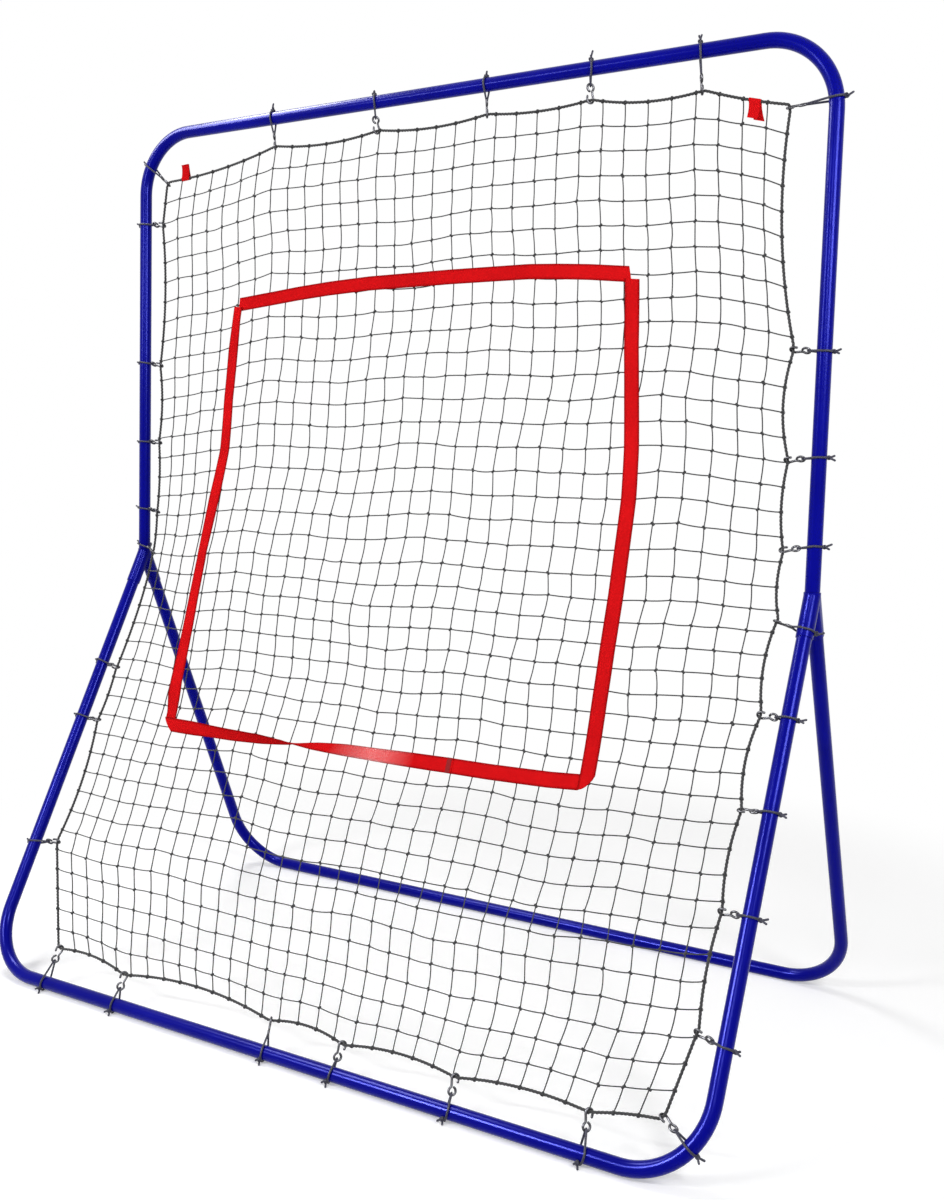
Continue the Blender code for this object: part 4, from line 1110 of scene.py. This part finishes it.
def camera():
    """The photograph's viewpoint: a 38 mm lens on a 36 mm tall frame, from the right, chest high."""
    data = bpy.data.cameras.new("camera")
    data.sensor_fit = "VERTICAL"
    data.sensor_height = SENSOR_HEIGHT
    data.lens = LENS
    made = placed("camera", data)
    place = Vector((CAMERA_X, MID_BACK - CAMERA_AHEAD, CAMERA_HEIGHT))
    turn = (Matrix.Rotation(CAMERA_YAW, 4, "Z") @ Matrix.Rotation(math.pi / 2 + CAMERA_PITCH, 4, "X")
            @ Matrix.Rotation(CAMERA_ROLL, 4, "Z"))
    made.matrix_world = Matrix.Translation(place) @ turn
    bpy.context.scene.camera = made


def lamp(name, place, size, power, roll=0, streak=False, target=NET_MIDDLE, spread=180):
    """A soft box of a width and height, aimed at a target, rolled and spread by some degrees.

    A streak box shows in the gloss of the tubes alone and lights nothing.
    """
    data = bpy.data.lights.new(name, "AREA")
    data.shape = "RECTANGLE"
    data.size, data.size_y = size
    data.energy = power
    data.spread = math.radians(spread)
    made = placed(name, data)
    made.visible_diffuse = not streak
    way = Vector(target) - Vector(place)
    made.matrix_world = (Matrix.Translation(place) @ way.to_track_quat("-Z", "Y").to_matrix().to_4x4()
                         @ Matrix.Rotation(math.radians(roll), 4, "Z"))


def white_for_camera(tree, plain, white):
    """A mix of two shaders: white where the camera, a gloss or a glass sees it, plain otherwise."""
    path = new_node(tree, "LightPath", {})
    seen = path.outputs["Is Camera Ray"]
    for ray in ("Is Glossy Ray", "Is Transmission Ray"):
        seen = new_node(tree, "Math", {0: seen, 1: path.outputs[ray]}, operation="MAXIMUM").outputs[0]
    return new_node(tree, "MixShader", {"Fac": seen, 1: plain, 2: white}).outputs[0]


def surroundings():
    """White all round, plain white light on the object."""
    world = bpy.data.worlds.new("studio")
    bpy.context.scene.world = world
    world.use_nodes = True
    tree = world.node_tree
    plain, white = tree.nodes["Background"], new_node(tree, "Background", {"Color": (1, 1, 1, 1)})
    feed(tree, plain, {"Color": (1, 1, 1, 1), "Strength": SURROUND})
    seen = white_for_camera(tree, plain.outputs[0], white.outputs[0])
    feed(tree, tree.nodes["World Output"], {0: seen})


def floor():
    """A floor that keeps the contact shadows and, away from the object, runs out into the white."""
    cloth = Finish("white floor", (FLOOR_GREY, FLOOR_GREY, FLOOR_GREY), 0.9, Specular_IOR_Level=0.1)
    plain = cloth.shader.outputs[0]
    glow = cloth.node("Emission", {"Strength": FLOOR_GLOW}).outputs[0]
    both = cloth.node("AddShader", {0: plain, 1: glow}).outputs[0]
    distance = cloth.node("VectorMath", {0: cloth.where.outputs["Object"]}, operation="LENGTH")
    near, far = FLOOR_FADE
    fade = cloth.node("MapRange", {"Value": distance.outputs["Value"], "From Min": near, "From Max": far},
                      interpolation_type="SMOOTHSTEP").outputs["Result"]
    white = cloth.node("Emission", {}).outputs[0]
    seen = cloth.node("MixShader", {"Fac": fade, 1: both, 2: white}).outputs[0]
    feed(cloth.tree, cloth.tree.nodes["Material Output"],
         {"Surface": white_for_camera(cloth.tree, plain, seen)})
    mesh = bpy.data.meshes.new("floor")
    corners = [(x * FLOOR_REACH, y * FLOOR_REACH, 0) for x, y in ((-1, -1), (1, -1), (1, 1), (-1, 1))]
    mesh.from_pydata(corners, [], [(0, 1, 2, 3)])
    mesh.materials.append(cloth.made)
    placed("floor", mesh)


def studio():
    """The camera, the white round the object, and lamps where the photo's streaks say they stood."""
    camera()
    surroundings()
    floor()
    lamp("left_box", (-1.1, -2.12, 1.69), (1.0, 0.18), 28, 31)
    lamp("right_box", (1.86, -0.92, 1.68), (0.32, 0.7), 17)
    lamp("camera_box", (1.43, -2.7, 1.77), (1.2, 0.15), 11, -20)
    lamp("high_box", (-1.5, 0.15, 3.0), (0.9, 0.4), 29)
    lamp("left_streak", (-0.93, -2.2, 1.75), (0.75, 0.7), 15, 31, streak=True, target=FRONT_BAR_RIGHT,
         spread=50)
    lamp("right_streak", (1.86, -0.92, 1.68), (0.75, 0.7), 60, streak=True)
    lamp("camera_streak", (1.0, -2.8, 1.9), (0.7, 0.45), 22, -20, streak=True)
    lamp("high_streak", (-1.15, -0.4, 2.1), (0.7, 0.7), 34, streak=True)
    bpy.context.scene.view_settings.view_transform = "Standard"


def build():
    """Dress every CAD node."""
    studio()
    blue = blue_powder_coat()
    bow("upper_bow_tube", UPPER_WAY, UPPER_LENGTH, COLLAR_HEIGHT + FIT_GAP, blue, "frame")
    bow("front_bow_tube", FRONT_WAY, FRONT_LENGTH, SOCKET_STOP + FIT_GAP, blue, "frame")
    bow("rear_bow_tube", REAR_WAY, REAR_LENGTH, SOCKET_STOP + FIT_GAP, blue, "rear_stand")
    connector("y_connector_left_socket", -1, blue)
    connector("y_connector_right_socket", 1, blue)

    places = tie_places()
    outline = Outline(places)
    cord, knotted, fibre, webbing = net_cord(), knot_cord(), rope_fibre(), red_webbing()
    knots = knot_places(outline)
    mesh_cords(knots, cord)
    mesh_knots(knots, knotted)
    border_rope(outline, fibre)
    rope_wraps(outline, knotted)
    strike_zone(webbing, red_webbing("red webbing, turned over", shiny=True), seam_thread_and_shadow())
    tab("left", outline, -1, LEFT_TAILS, webbing)
    tab("right", outline, 1, RIGHT_TAILS, webbing)

    ties = [Tie(name, *facts) for name, facts in places.items()]
    hooks(ties, hook_steel())
    elastics(ties, elastic_cover())


build()
